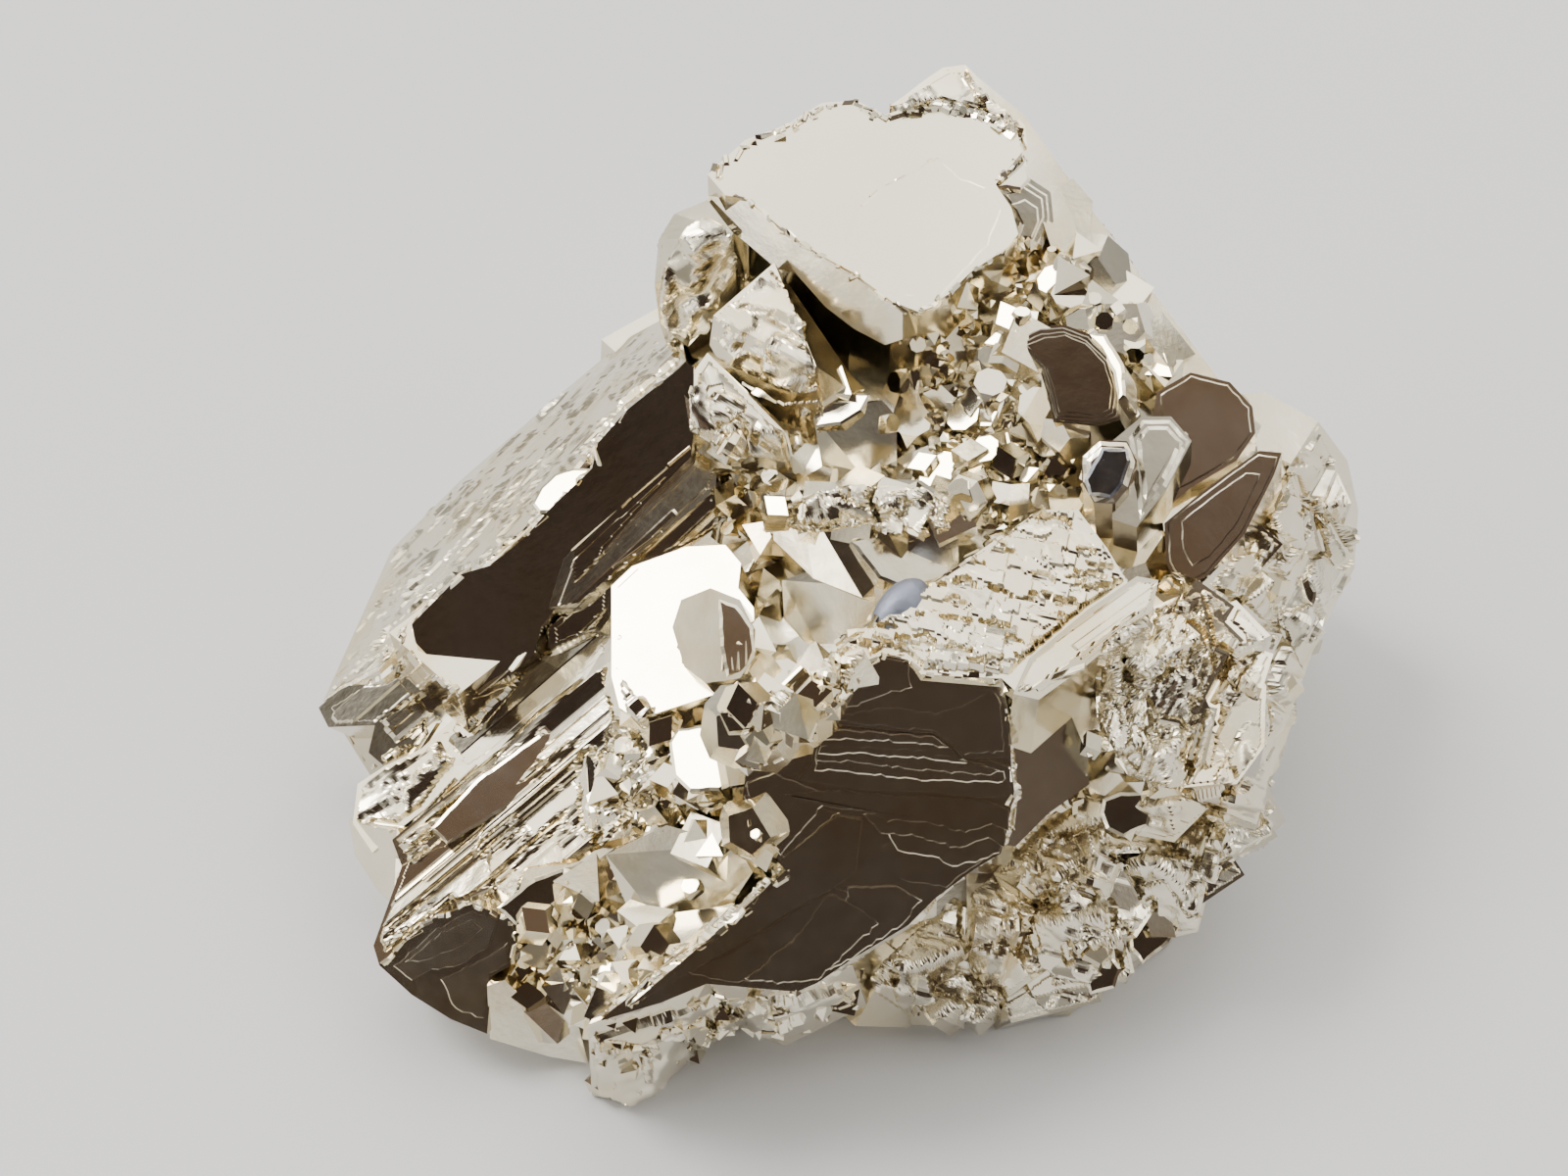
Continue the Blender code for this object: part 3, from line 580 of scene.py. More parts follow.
# %% Turned faces
LAMP = Vector((-0.545, 0.28, 0.79)).normalized()
GLANCES = {
    "lamp": LAMP,
    "dark": Vector((-0.05, -0.6, 0.8)),
    "sky": Vector((0.05, 0.45, 0.89)),
    "dusk": Vector((-0.02, -0.28, 0.96)),
    "blade": Vector((-0.3, -0.55, 0.78)),
    "plain": Vector((0.25, 0.12, 0.96)),
}


def mirroring(place, mirrored):
    """The way in which a face at a place must look for the eye to see a part of the room in it."""
    return ((EYE - place).normalized() + GLANCES[mirrored]).normalized()


TURNED_FACES = {
    "white_cube": (
        "lamp", 0.9,
        [
            (683, 758), (692, 744), (722, 740), (745, 748), (757, 772), (753, 796), (734, 807), (704, 808),
            (688, 793),
        ],
    ),
    "slope_crystal": (
        "lamp", 0.6,
        [
            (543, 515), (552, 498), (566, 484), (586, 478), (606, 478), (602, 502), (590, 516), (568, 525),
            (550, 523),
        ],
    ),
    "disc_side": (
        "dusk", 0.5, [(733, 612), (752, 618), (768, 640), (771, 664), (762, 688), (742, 691), (735, 660)],
    ),
    "bronze_side": (
        "lamp", 1.4,
        [(1108, 340), (1128, 341), (1147, 372), (1149, 404), (1141, 410), (1136, 380), (1122, 356)],
    ),
    "brown_step": (
        "dusk", 0.5,
        [(440, 845), (487, 795), (553, 748), (620, 724), (640, 738), (587, 772), (520, 822), (456, 862)],
    ),
    "dark_step": (
        "blade", 0.5, [(392, 722), (430, 686), (446, 684), (474, 700), (484, 714), (440, 748), (404, 762)],
    ),
    "small_dark_step": (
        "dark", 0.6, [(507, 926), (545, 896), (600, 878), (605, 898), (562, 926), (526, 944)],
    ),
    "flank_oval": (
        "dark", 1.6,
        [(1164, 924), (1198, 916), (1207, 936), (1193, 962), (1166, 984), (1154, 968), (1150, 946)],
    ),
    "low_oval": ("dark", 1.4, [(1106, 988), (1133, 973), (1144, 988), (1137, 1008), (1112, 1015)]),
    "upper_oval": (
        "dark", 1.9,
        [
            (1126, 815), (1143, 809), (1171, 807), (1177, 822), (1171, 843), (1147, 854), (1129, 846),
            (1123, 829),
        ],
    ),
    "side_oval": ("blade", 1.2, [(1322, 597), (1336, 588), (1344, 604), (1338, 626), (1325, 630)]),
    "leaning_foot": ("lamp", 0.1, [(832, 436), (840, 412), (862, 400), (888, 403), (880, 420), (858, 434)]),
    "middle_crystal": (
        "plain", 0.5, [(868, 552), (905, 543), (972, 556), (970, 588), (928, 602), (896, 590)],
    ),
    "inner_block_core": (
        "dark", 0.8,
        [(1106, 490), (1125, 457), (1150, 458), (1153, 470), (1146, 494), (1133, 508), (1112, 505)],
    ),
    "notch": ("sky", 0.4, [(1018, 190), (1030, 178), (1047, 162), (1052, 184), (1042, 194)]),
}
for title, (mirrored, lift, outline) in TURNED_FACES.items():
    middle = seen(*np.mean(outline, axis=0))[0]
    finish = "pyrite_blue" if title == "inner_block_core" else "pyrite_crystal"
    face = (middle, mirroring(middle, mirrored))
    sheet = ragged(outline, RAGGED_PITCH, RAGGED_PLAY, dice)
    plates(title, [(sheet, face, lift, 0.12)], finish, rim=0.3, root=lift + 2.5)

# %% [markdown]
# Relief sheets
#
# The etched slopes are a landscape in small: thin slabs lie over each other in the grain of the crystal, with
# pits between them. Sculpting that by hand would take days, and a bump map loses the sparkle of its steps. So
# a fine net is thrown over a patch along the sight lines, and each of its points is lifted by the heights of
# hundreds of slabs. The net's rim dives under the skin, so it needs no seam.

# %% Nets over the solid
RIM_CELLS = 3
SMOOTHING = 3
DIVE = 0.4
GRAZING = 0.12
LONGEST_CELL = 5


def turned_net(patch, heading, pitch, longer):
    """Points of a net over a patch, its rows along a heading in degrees, as picture places and as net places.
    Its cells are a pitch across, and longer than that along the heading."""
    cos, sin = math.cos(math.radians(heading)), math.sin(math.radians(heading))
    us, vs = np.array(patch, float).T
    along, across = us * cos - vs * sin, us * sin + vs * cos
    a, b = np.meshgrid(np.arange(along.min(), along.max(), pitch * longer),
                       np.arange(across.min(), across.max(), pitch), indexing="ij")
    return a * cos + b * sin, b * cos - a * sin, a - along.min(), b - across.min()


def neighbours(values):
    """The four neighbours of each point of a net; zero beyond its rim."""
    padded = np.pad(values, [(1, 1), (1, 1)] + [(0, 0)] * (values.ndim - 2))
    return padded[:-2, 1:-1], padded[2:, 1:-1], padded[1:-1, :-2], padded[1:-1, 2:]


def relief_sheet(name, patch, heading, pitch, heights, finish="pyrite_crystal", ray=eye_ray, point=POINT_MM,
                 keep=None, lift=0.15, longer=1.0):
    """A net over a patch of the solid, lifted by heights(x, y) in millimetres along the solid's normals."""
    us, vs, along, across = turned_net(patch, heading, pitch, longer)
    places, normals = np.full(us.shape + (3,), 9.0), np.zeros(us.shape + (3,))
    for i, j in np.argwhere(inside(us, vs, patch)):
        hit = seen(us[i, j], vs[i, j], ray)
        if hit and -hit[1].dot(ray(us[i, j], vs[i, j])[1]) > GRAZING and (keep is None or keep(*hit)):
            places[i, j], normals[i, j] = hit
    jump = LONGEST_CELL * pitch * point * MM
    gaps = [np.linalg.norm(np.diff(places, axis=axis), axis=2) > jump * reach
            for axis, reach in [(0, longer), (1, 1)]]
    rim = ~normals.any(axis=2)
    rim[1:] |= gaps[0]
    rim[:-1] |= gaps[0]
    rim[:, 1:] |= gaps[1]
    rim[:, :-1] |= gaps[1]
    depth = np.where(rim, 0, RIM_CELLS)
    for _ in range(RIM_CELLS):
        depth = np.minimum(depth, 1 + np.minimum.reduce(neighbours(depth)))
    ways = normals.copy()
    for _ in range(SMOOTHING):
        ways = ways + sum(neighbours(ways))
        ways /= np.maximum(np.linalg.norm(ways, axis=2, keepdims=True), 1e-9)
    share = depth / RIM_CELLS
    raised = (heights(along * point, across * point) + lift) * share - DIVE * (1 - share)
    net = np.clip(places + ways * raised[..., None] * MM, cad_box[0], cad_box[1])
    used = normals.any(axis=2)
    whole = used[:-1, :-1] & used[1:, :-1] & used[:-1, 1:] & used[1:, 1:]
    whole &= ~(gaps[0][:, :-1] | gaps[0][:, 1:] | gaps[1][:-1] | gaps[1][1:])
    numbers = np.cumsum(used).reshape(used.shape) - 1
    quads = np.stack([numbers[:-1, :-1], numbers[:-1, 1:], numbers[1:, 1:], numbers[1:, :-1]], axis=2)[whole]
    made = new_piece(name, net[used].tolist(), quads.tolist())
    edit(made)
    bpy.ops.mesh.delete_loose()
    done()
    return settle(made, name, finish)


# %% Slabs and pits as heights


def cloud(xs, ys, size, dice):
    """Smooth unevenness between about -1 and 1, its lumps about size millimetres across."""
    total = 0 * xs
    for _ in range(7):
        way, reach = dice.uniform(0, math.tau), size * dice.uniform(1.4, 3.2)
        start = dice.uniform(0, math.tau)
        total += np.sin((xs * math.cos(way) + ys * math.sin(way)) * math.tau / reach + start)
    return total / 3.2


def thrown(xs, ys, dice, layers, length, width, crowd, ragged_by):
    """Slabs thrown over a net, as many layers deep on average: the part of the net round each one, what it
    covers there, and how far its points are from its middle. A crowd from 0 to 1 thins them out by place."""
    wx = xs + ragged_by * cloud(xs, ys, 0.9, dice)
    wy = ys + ragged_by * cloud(xs, ys, 0.7, dice)
    step_x, step_y = xs[1, 0] - xs[0, 0], ys[0, 1] - ys[0, 0]
    for _ in range(round(layers * xs.max() * ys.max() / (sum(length) * sum(width) / 4))):
        x, y = dice.uniform(0, xs.max()), dice.uniform(0, ys.max())
        long, wide, chance = dice.uniform(*length) / 2, dice.uniform(*width) / 2, dice.random()
        if crowd is not None and chance > crowd[int(x / step_x), int(y / step_y)]:
            continue
        part = (slice(max(int((x - long) / step_x) - 2, 0), int((x + long) / step_x) + 3),
                slice(max(int((y - wide) / step_y) - 2, 0), int((y + wide) / step_y) + 3))
        covered = (abs(wx[part] - x) < long) & (abs(wy[part] - y) < wide)
        yield part, covered, xs[part] - x, ys[part] - y


def slabs(xs, ys, dice, layers, length, width, rise, crowd=None, ragged_by=0.12):
    """Heights of level slabs that lie over each other in the grain of the net; a negative rise makes pits."""
    heights = 0 * xs
    for part, covered, _, _ in thrown(xs, ys, dice, layers, length, width, crowd, ragged_by):
        heights[part] += dice.uniform(*rise) * covered
    return heights


def facets(xs, ys, dice, layers, length, width, rise, tilt, crowd=None, ragged_by=0.12, usual=0.0):
    """Heights of slabs that each lean their own way, along and across the grain; the highest one shows."""
    heights = 0 * xs
    for part, covered, dx, dy in thrown(xs, ys, dice, layers, length, width, crowd, ragged_by):
        lean = dice.uniform(*rise) + dice.gauss(0, tilt[0]) * dx + dice.gauss(usual, tilt[1]) * dy
        heights[part] = np.maximum(heights[part], np.where(covered, lean, 0))
    return heights


def softened(heights, rounds):
    """The same heights with their corners rounded off."""
    for _ in range(rounds):
        heights = (heights + sum(neighbours(heights))) / 5
    return heights


# %% The etched slope behind the left blade
dice = random.Random(23)
OUTER_SLOPE = [
    (328, 720), (340, 680), (396, 566), (466, 488), (556, 412), (636, 346), (690, 316), (700, 366),
    (640, 414), (612, 448), (604, 480), (560, 518), (537, 545), (500, 577), (470, 588), (424, 634),
    (418, 655), (388, 684), (345, 706),
]
BLADE_HEADING = 43.0
TOWARDS_LAMP = -0.65


def outer_slope(xs, ys):
    """Long low sheets with short dashes that lean towards the lamp."""
    crowd = np.clip(0.75 + 0.5 * cloud(xs, ys, 6.0, dice) + 0.5 * (ys / ys.max() - 0.45), 0, 1)
    sheets = facets(xs, ys, dice, 1.0, (6.0, 20.0), (1.0, 4.0), (0.0, 0.15), (0.01, 0.06))
    dashes = facets(xs, ys, dice, 1.6, (0.6, 4.5), (0.25, 0.75), (0.08, 0.25), (0.04, 0.25), crowd, 0.08,
                    TOWARDS_LAMP)
    return sheets + softened(dashes, 1)


relief_sheet("outer_slope", OUTER_SLOPE, BLADE_HEADING + 3, 1.2, outer_slope, lift=0.05, longer=3.0)

# %% The pitted top of the front block
PITTED_TOP = [
    (748, 741), (800, 700), (860, 658), (958, 590), (1010, 552), (1064, 518), (1100, 520), (1130, 558),
    (1152, 597), (1108, 624), (1050, 672), (1030, 692), (985, 688), (942, 686), (926, 671), (900, 666),
    (880, 676), (866, 704), (848, 726),
]


def pitted_top(xs, ys):
    """Thin sheets with sharp slots through them."""
    crowd = np.clip(0.75 + 0.5 * cloud(xs, ys, 5.0, dice), 0, 1)
    sheets = facets(xs, ys, dice, 1.3, (1.5, 6.0), (0.7, 2.4), (0.05, 0.30), (0.04, 0.12), None, 0.2)
    slots = slabs(xs, ys, dice, 0.36, (1.0, 3.4), (0.35, 0.65), (-0.8, -0.45), crowd, 0.2)
    return np.clip(0.45 + sheets + slots, -0.15, None)


NET_PITCH = 2.0
relief_sheet("pitted_top", PITTED_TOP, -12.0, NET_PITCH, pitted_top, "pyrite_etched")

# %% Scaly and crumpled crystals
LEANING = [
    (726, 322), (752, 286), (786, 268), (806, 292), (822, 330), (834, 376), (838, 402), (800, 404),
    (742, 376), (728, 362),
]
LOBE = [
    (698, 396), (722, 362), (742, 378), (800, 406), (840, 404), (848, 436), (806, 472), (742, 465),
    (702, 447),
]
PEAK = [
    (908, 107), (925, 97), (962, 71), (985, 68), (1003, 86), (1044, 128), (1040, 146), (1003, 124),
    (961, 113), (925, 119), (906, 117),
]
BLOCK_TOP = [
    (785, 538), (812, 505), (870, 490), (940, 492), (976, 516), (972, 545), (930, 556), (880, 540),
    (830, 548),
]
LEFT_LUMP = [(362, 842), (366, 800), (382, 770), (400, 760), (450, 752), (470, 775), (430, 828), (398, 852)]
SLOPE_LUMP = [(541, 509), (568, 469), (606, 451), (604, 478), (560, 520)]
WEST_WALL = [
    (670, 306), (676, 262), (698, 228), (720, 216), (748, 232), (764, 262), (742, 298), (724, 338),
    (704, 354), (680, 342),
]


def scaly(xs, ys):
    """Scales that lie over each other."""
    scales = facets(xs, ys, dice, 1.3, (2.0, 6.0), (0.8, 2.2), (0.10, 0.60), (0.10, 0.40), None, 0.4)
    return softened(scales, 3)


def blobs(xs, ys):
    """The same, larger and almost melted."""
    return softened(facets(xs, ys, dice, 1.2, (3.0, 6.0), (1.5, 4.0), (0.1, 0.8), (0.2, 0.3), None, 0.5), 7)


SCALES = [
    ("leaning_crystal", LEANING, -28.0, scaly), ("leaning_lobe", LOBE, -30.0, blobs),
    ("peak", PEAK, 30.0, scaly), ("block_top", BLOCK_TOP, 8.0, scaly), ("left_lump", LEFT_LUMP, 35.0, scaly),
    ("slope_lump", SLOPE_LUMP, 50.0, scaly), ("west_wall", WEST_WALL, 60.0, blobs),
]
for title, patch, heading, heights in SCALES:
    relief_sheet(title + "_scales", patch, heading, NET_PITCH, heights)

# %% Rough flanks
RIGHT_MASS = [
    (1222, 602), (1262, 560), (1300, 498), (1345, 428), (1378, 500), (1384, 580), (1340, 680), (1300, 780),
    (1262, 800), (1206, 806), (1222, 740), (1238, 680), (1230, 632),
]
ETCHED_MASS = [
    (1112, 700), (1122, 652), (1180, 618), (1226, 600), (1234, 632), (1242, 680), (1226, 740), (1210, 806),
    (1190, 808), (1150, 790), (1120, 745),
]
LOWER_FLANK = [
    (872, 1004), (930, 950), (1000, 900), (1040, 866), (1110, 812), (1180, 812), (1292, 790), (1306, 850),
    (1270, 910), (1225, 945), (1190, 985), (1130, 1018), (1060, 1046), (990, 1050), (925, 1038),
]
FOOT = [
    (602, 1054), (640, 1040), (720, 1018), (800, 1012), (860, 1000), (884, 1022), (800, 1066), (740, 1056),
    (650, 1132), (604, 1120),
]


def pebbly(xs, ys):
    """Long lumps with pebbles on them."""
    crowd = np.clip(0.4 + 0.8 * cloud(xs, ys, 5.0, dice), 0, 1)
    lumps = facets(xs, ys, dice, 1.1, (5.0, 16.0), (2.0, 5.0), (0.1, 0.6), (0.03, 0.10), None, 0.2)
    stones = facets(xs, ys, dice, 1.0, (1.2, 4.0), (0.8, 2.2), (0.1, 0.4), (0.08, 0.15), crowd, 0.3)
    return softened(softened(stones, 2) + lumps, 1)


def etched(xs, ys):
    """Small steep flakes."""
    flakes = facets(xs, ys, dice, 1.8, (1.0, 5.0), (0.4, 1.2), (0.1, 0.6), (0.06, 0.35), None, 0.25)
    return softened(flakes, 1)


def ledged(xs, ys):
    """Broken blocks with ledges."""
    crowd = np.clip(0.35 + 1.0 * cloud(xs, ys, 4.0, dice), 0, 1)
    blocks = facets(xs, ys, dice, 1.2, (5.0, 16.0), (1.5, 5.0), (0.1, 0.6), (0.02, 0.10), None, 0.15)
    ledges = facets(xs, ys, dice, 1.4, (1.0, 5.0), (0.4, 1.2), (0.05, 0.25), (0.05, 0.25), crowd, 0.1)
    return softened(blocks + ledges, 2)


relief_sheet("right_mass", RIGHT_MASS, 62.0, NET_PITCH, pebbly)
relief_sheet("etched_mass", ETCHED_MASS, 75.0, 0.9 * NET_PITCH, etched)
relief_sheet("lower_flank", LOWER_FLANK, -15.0, NET_PITCH, ledged)
relief_sheet("foot", FOOT, 20.0, NET_PITCH, ledged)

# %% [markdown]
# Striated blades
#
# The long blades on the left are cut by fine parallel lines that run their whole length: two kinds of face
# grew by turns. They are a net again, but its slabs are as long as the blade and hair-thin.

# %% Long lines of the blades
BLADE_BANDS = [
    (583, 566), (700, 462), (736, 438), (748, 530), (716, 550), (664, 576), (636, 602), (610, 642),
    (560, 664), (556, 640),
]
TREAD_UPPER = [
    (330, 722), (386, 686), (424, 656), (446, 682), (492, 706), (548, 668), (600, 642), (648, 642),
    (628, 664), (548, 728), (500, 772), (470, 790), (450, 754), (400, 762), (384, 742), (336, 742),
]
TREAD_LOWER = [
    (400, 858), (430, 832), (502, 775), (548, 730), (628, 668), (650, 700), (700, 742), (690, 786),
    (648, 830), (608, 880), (540, 890), (522, 934), (482, 922), (440, 936), (390, 980), (383, 962),
    (396, 925),
]
GLASSY_RIDGE = [
    (1034, 706), (1052, 672), (1110, 624), (1160, 590), (1238, 578), (1222, 604), (1176, 624), (1110, 680),
    (1060, 713),
]


def banded(xs, ys):
    """Bands as long as the blade, with a few fine lines."""
    bands = facets(xs, ys, dice, 1.3, (40.0, 90.0), (1.5, 5.0), (0.1, 0.5), (0.002, 0.20), None, 0.02)
    lines = facets(xs, ys, dice, 0.15, (10.0, 30.0), (0.3, 0.8), (0.03, 0.10), (0.005, 0.2), None, 0.02)
    return bands + lines


def banded_and_chipped(xs, ys):
    """Narrower bands, chipped in places."""
    crowd = np.clip(0.1 + 1.1 * cloud(xs, ys, 5.0, dice), 0, 1)
    bands = facets(xs, ys, dice, 2.0, (15.0, 60.0), (0.7, 3.0), (0.1, 0.5), (0.002, 0.30), None, 0.02)
    chips = facets(xs, ys, dice, 1.2, (0.8, 5.0), (0.3, 0.9), (0.05, 0.3), (0.1, 0.3), crowd, 0.1)
    return softened(bands + chips, 1)


BLADES = [
    ("blade_bands", BLADE_BANDS, BLADE_HEADING, banded), ("upper_tread", TREAD_UPPER, 41.0, banded),
    ("lower_tread", TREAD_LOWER, 40.0, banded_and_chipped), ("glassy_ridge", GLASSY_RIDGE, 36.0, banded),
]
for title, patch, heading, heights in BLADES:
    relief_sheet(title, patch, heading, 1.5, heights, "pyrite_blade", lift=0.05, longer=2.0)

# %% [markdown]
# The sides that the picture doesn't show
#
# A cluster breaks and grows the same way all round, so the hidden sides get the same bricks and steps. Six
# far eyes stand round the specimen, and each throws its net over the faces that look most towards it and that
# the first eye can't see.

# %% Nets from six sides
SIDE_POINT = 0.1
SIDE_DISTANCE = 150.0 * MM
LOWEST_RELIEF = 0.6 * MM
SIDE_FRAME = [(200, 250), (1400, 250), (1400, 900), (200, 900)]
SIDE_MIDDLE = Vector((0.0, 0.0, 26.0)) * MM


def side_back(azimuth):
    """The way from the specimen to a far eye at an azimuth, 15 degrees up."""
    turn, tilt = math.radians(azimuth), math.radians(15.0)
    return Vector((math.sin(turn) * math.cos(tilt), -math.cos(turn) * math.cos(tilt), math.sin(tilt)))


def side_ray(azimuth):
    """The sight lines of a far eye, all side by side."""
    turn, back = math.radians(azimuth), side_back(azimuth)
    right = Vector((math.cos(turn), math.sin(turn), 0))
    up = back.cross(right)

    def ray(u, v):
        across, rise = u - PICTURE_WIDTH / 2, PICTURE_HEIGHT / 2 - v
        start = SIDE_MIDDLE + right * across * SIDE_POINT * MM + up * rise * SIDE_POINT * MM
        return start + back * SIDE_DISTANCE, -back

    return ray


SIDES = [20.0, 80.0, 135.0, 180.0, 225.0, 290.0]
SIDE_BACKS = {azimuth: side_back(azimuth) for azimuth in SIDES}


def hidden_and_best(azimuth):
    """Whether a place is out of the eye's view and looks more to this side than to the others."""

    def keep(place, normal):
        best = max(SIDE_BACKS, key=lambda side: normal.dot(SIDE_BACKS[side]))
        if place.z < LOWEST_RELIEF or best != azimuth:
            return False
        start, way = place + normal * 0.3 * MM, (EYE - place).normalized()
        return normal.dot(way) < 0.1 or solid_tree.ray_cast(start, way)[0] is not None

    return keep


def bricks(xs, ys):
    """Flat bricks with smaller steps on them."""
    blocks = facets(xs, ys, dice, 1.2, (2.5, 10.0), (1.2, 5.0), (0.05, 0.5), (0.03, 0.06), None, 0.06)
    return blocks + facets(xs, ys, dice, 0.6, (0.8, 3.0), (0.5, 1.4), (0.03, 0.2), (0.15, 0.2), None, 0.05)


for azimuth in SIDES:
    relief_sheet(f"side_{azimuth:.0f}", SIDE_FRAME, 0.0, 3.2, bricks, ray=side_ray(azimuth), point=SIDE_POINT,
                 keep=hidden_and_best(azimuth), lift=0.02)

# %% [markdown]
# Small crystals
#
# The hollow glitters with crystals of a few millimetres: cubes, octahedra and dodecahedra. Each form is
# modelled once. A cube gets bevelled corners, a pyramid's base is drawn down to a point, and twelve cuts take
# a block down to a dodecahedron of rhombs. Its pieces are called pyritohedra, for pyrite's own twelve-sided
# form, which has pentagons and looks much like it at this size. Copies of the forms are then placed, and the
# brightest are turned so that the eye sees the lamp in one of their faces.

# %% Model each form once


def as_numbers():
    """The corners and faces of the open model, which then goes. Each run may leave the faces in another
    order, so they are sorted."""
    done()
    mesh = bpy.context.object.data
    shape = np.array([v.co[:] for v in mesh.vertices]), sorted(list(p.vertices) for p in mesh.polygons)
    bpy.ops.object.delete()
    bpy.data.meshes.remove(mesh)
    return shape


def pick(chosen):
    """Select the faces of the open model that a test on their middle and normal chooses."""
    bpy.ops.mesh.select_all(action="DESELECT")
    bpy.ops.mesh.select_mode(type="FACE")
    shape = bmesh.from_edit_mesh(bpy.context.object.data)
    for face in shape.faces:
        face.select_set(chosen(face.calc_center_median(), face.normal))
    bmesh.update_edit_mesh(bpy.context.object.data)


def new_cube():
    bpy.ops.object.select_all(action="DESELECT")
    bpy.ops.mesh.primitive_cube_add(size=2.0)
    bpy.ops.object.mode_set(mode="EDIT")
    bpy.ops.mesh.select_all(action="SELECT")


FORMS = {}
new_cube()
bpy.ops.mesh.bevel(offset=0.62, affect="VERTICES")
FORMS["cut_cube"] = as_numbers()

bpy.ops.object.select_all(action="DESELECT")
bpy.ops.mesh.primitive_cone_add(vertices=4, radius1=1.4, depth=1.4, location=(0, 0, 0.7))
bpy.ops.object.mode_set(mode="EDIT")
pick(lambda middle, normal: normal.z < -0.9)
bpy.ops.mesh.extrude_region_move(TRANSFORM_OT_translate={"value": (0, 0, -1.4)})
bpy.ops.mesh.merge(type="CENTER")
FORMS["octahedron"] = as_numbers()

CUT_REACH = 1.5 / math.sqrt(5)
new_cube()
bpy.ops.transform.resize(value=(2, 2, 2))
for x, y in [(i, j) for i in (-1, 1) for j in (-1, 1)]:
    for way in [Vector((0, x, y)), Vector((x, y, 0)), Vector((y, 0, x))]:
        bpy.ops.mesh.select_all(action="SELECT")
        bpy.ops.mesh.bisect(plane_co=way * CUT_REACH, plane_no=way, clear_outer=True, use_fill=True)
FORMS["dodecahedron"] = as_numbers()

new_cube()
pick(lambda middle, normal: normal.z > 0.9)
bpy.ops.transform.resize(value=(0.7, 0.4, 1.0))
bpy.ops.transform.translate(value=(0.2, 0.1, 0.0))
FORMS["flake"] = as_numbers()
new_cube()
pick(lambda middle, normal: normal.z > 0.9)
bpy.ops.transform.resize(value=(0.92, 0.22, 1.0))
FORMS["ridge"] = as_numbers()
print("forms:", {name: len(shape[1]) for name, shape in FORMS.items()}, "faces")

# %% Place copies


def grain(normal, along):
    """A turn that lays X along the grain and Z out of the face."""
    side = along - normal * along.dot(normal)
    side = side.normalized() if side.length > 1e-6 else normal.orthogonal().normalized()
    return Matrix((side, normal.cross(side), normal)).transposed()


def strew(name, form, stances, finish):
    """Copies of a form at each stance (middle, turn, half sizes), joined in one piece in the solid's box."""
    corners, faces = FORMS[form]
    low, high = np.array(cad_box)
    all_corners, all_faces, count = [], [], 0
    for middle, turn, halves in stances:
        placed = (corners * np.array(halves)) @ np.array(turn).T + np.array(middle)
        if (placed < low).any() or (placed > high).any():
            continue
        all_corners.append(placed)
        all_faces += [[i + count for i in face] for face in faces]
        count += len(corners)
    return settle(new_piece(name, np.concatenate(all_corners).tolist(), all_faces), name, finish)


def strewn_points(patch, pitch, dice):
    """Picture points on a shaken grid over a patch, pitch pixels apart."""
    us, vs = [u for u, v in patch], [v for u, v in patch]
    points = []
    for i in range(int((max(us) - min(us)) / pitch) + 1):
        for j in range(int((max(vs) - min(vs)) / pitch) + 1):
            point = (min(us) + (i + dice.random()) * pitch, min(vs) + (j + dice.random()) * pitch)
            if inside(*point, patch):
                points.append(point)
    return points


def any_turn(dice):
    """A turn that is as likely as any other."""
    return Matrix.Rotation(dice.uniform(0, math.tau), 3, Vector([dice.gauss(0, 1) for _ in range(3)]))


STEEPEST = 1.6
KEPT_CLEAR = [
    [(680, 738), (757, 736), (760, 808), (684, 812)],
    [(625, 845), (765, 850), (775, 900), (690, 968), (630, 930)],
    [(1026, 330), (1150, 330), (1150, 440), (1060, 440), (1026, 352)],
    [(908, 393), (948, 393), (948, 472), (908, 472)],
]


def on_patch(patch, pitch, sizes, sunk, dice):
    """Stances of small crystals over a patch: sizes in millimetres, and how far each is sunk, as a share."""
    stances = []
    for point in strewn_points(patch, pitch, dice):
        size, turn, hit = dice.uniform(*sizes) * MM / 2, any_turn(dice), seen(*point)
        if hit and not any(inside(*point, clear) for clear in KEPT_CLEAR):
            stances.append((hit[0] - hit[1] * size * sunk, turn, [size] * 3))
    return stances


def along_line(line, length, gap, width, height, stray, tumble, dice):
    """Stances of long forms in a row along a line in the picture: sizes in millimetres, how far they stray in
    pixels, and how far they tumble about their length, in radians."""
    stances = []
    for (a, b), (c, d) in zip(line, line[1:]):
        reach = math.dist((a, b), (c, d))
        t = 0.0
        while t < reach - 1:
            own = min(dice.uniform(*length) / POINT_MM, reach - t)
            du, dv = dice.uniform(-stray, stray), dice.uniform(-stray, stray)
            ends = [seen(a + (c - a) * s / reach + du, b + (d - b) * s / reach + dv) for s in (t, t + own)]
            t += own + dice.uniform(*gap) / POINT_MM
            if not all(ends) or (ends[0][0] - ends[1][0]).length > STEEPEST * own * POINT_MM * MM:
                continue
            run = ends[1][0] - ends[0][0]
            turn = grain((ends[0][1] + ends[1][1]).normalized(), run.normalized())
            turn = turn @ Matrix.Rotation(dice.gauss(0, tumble), 3, "X")
            turn = turn @ Matrix.Rotation(dice.gauss(0, tumble / 2), 3, "Z")
            halves = [run.length / 2, dice.uniform(*width) * MM / 2, dice.uniform(*height) * MM / 2]
            stances.append(((ends[0][0] + ends[1][0]) / 2, turn, halves))
    return stances


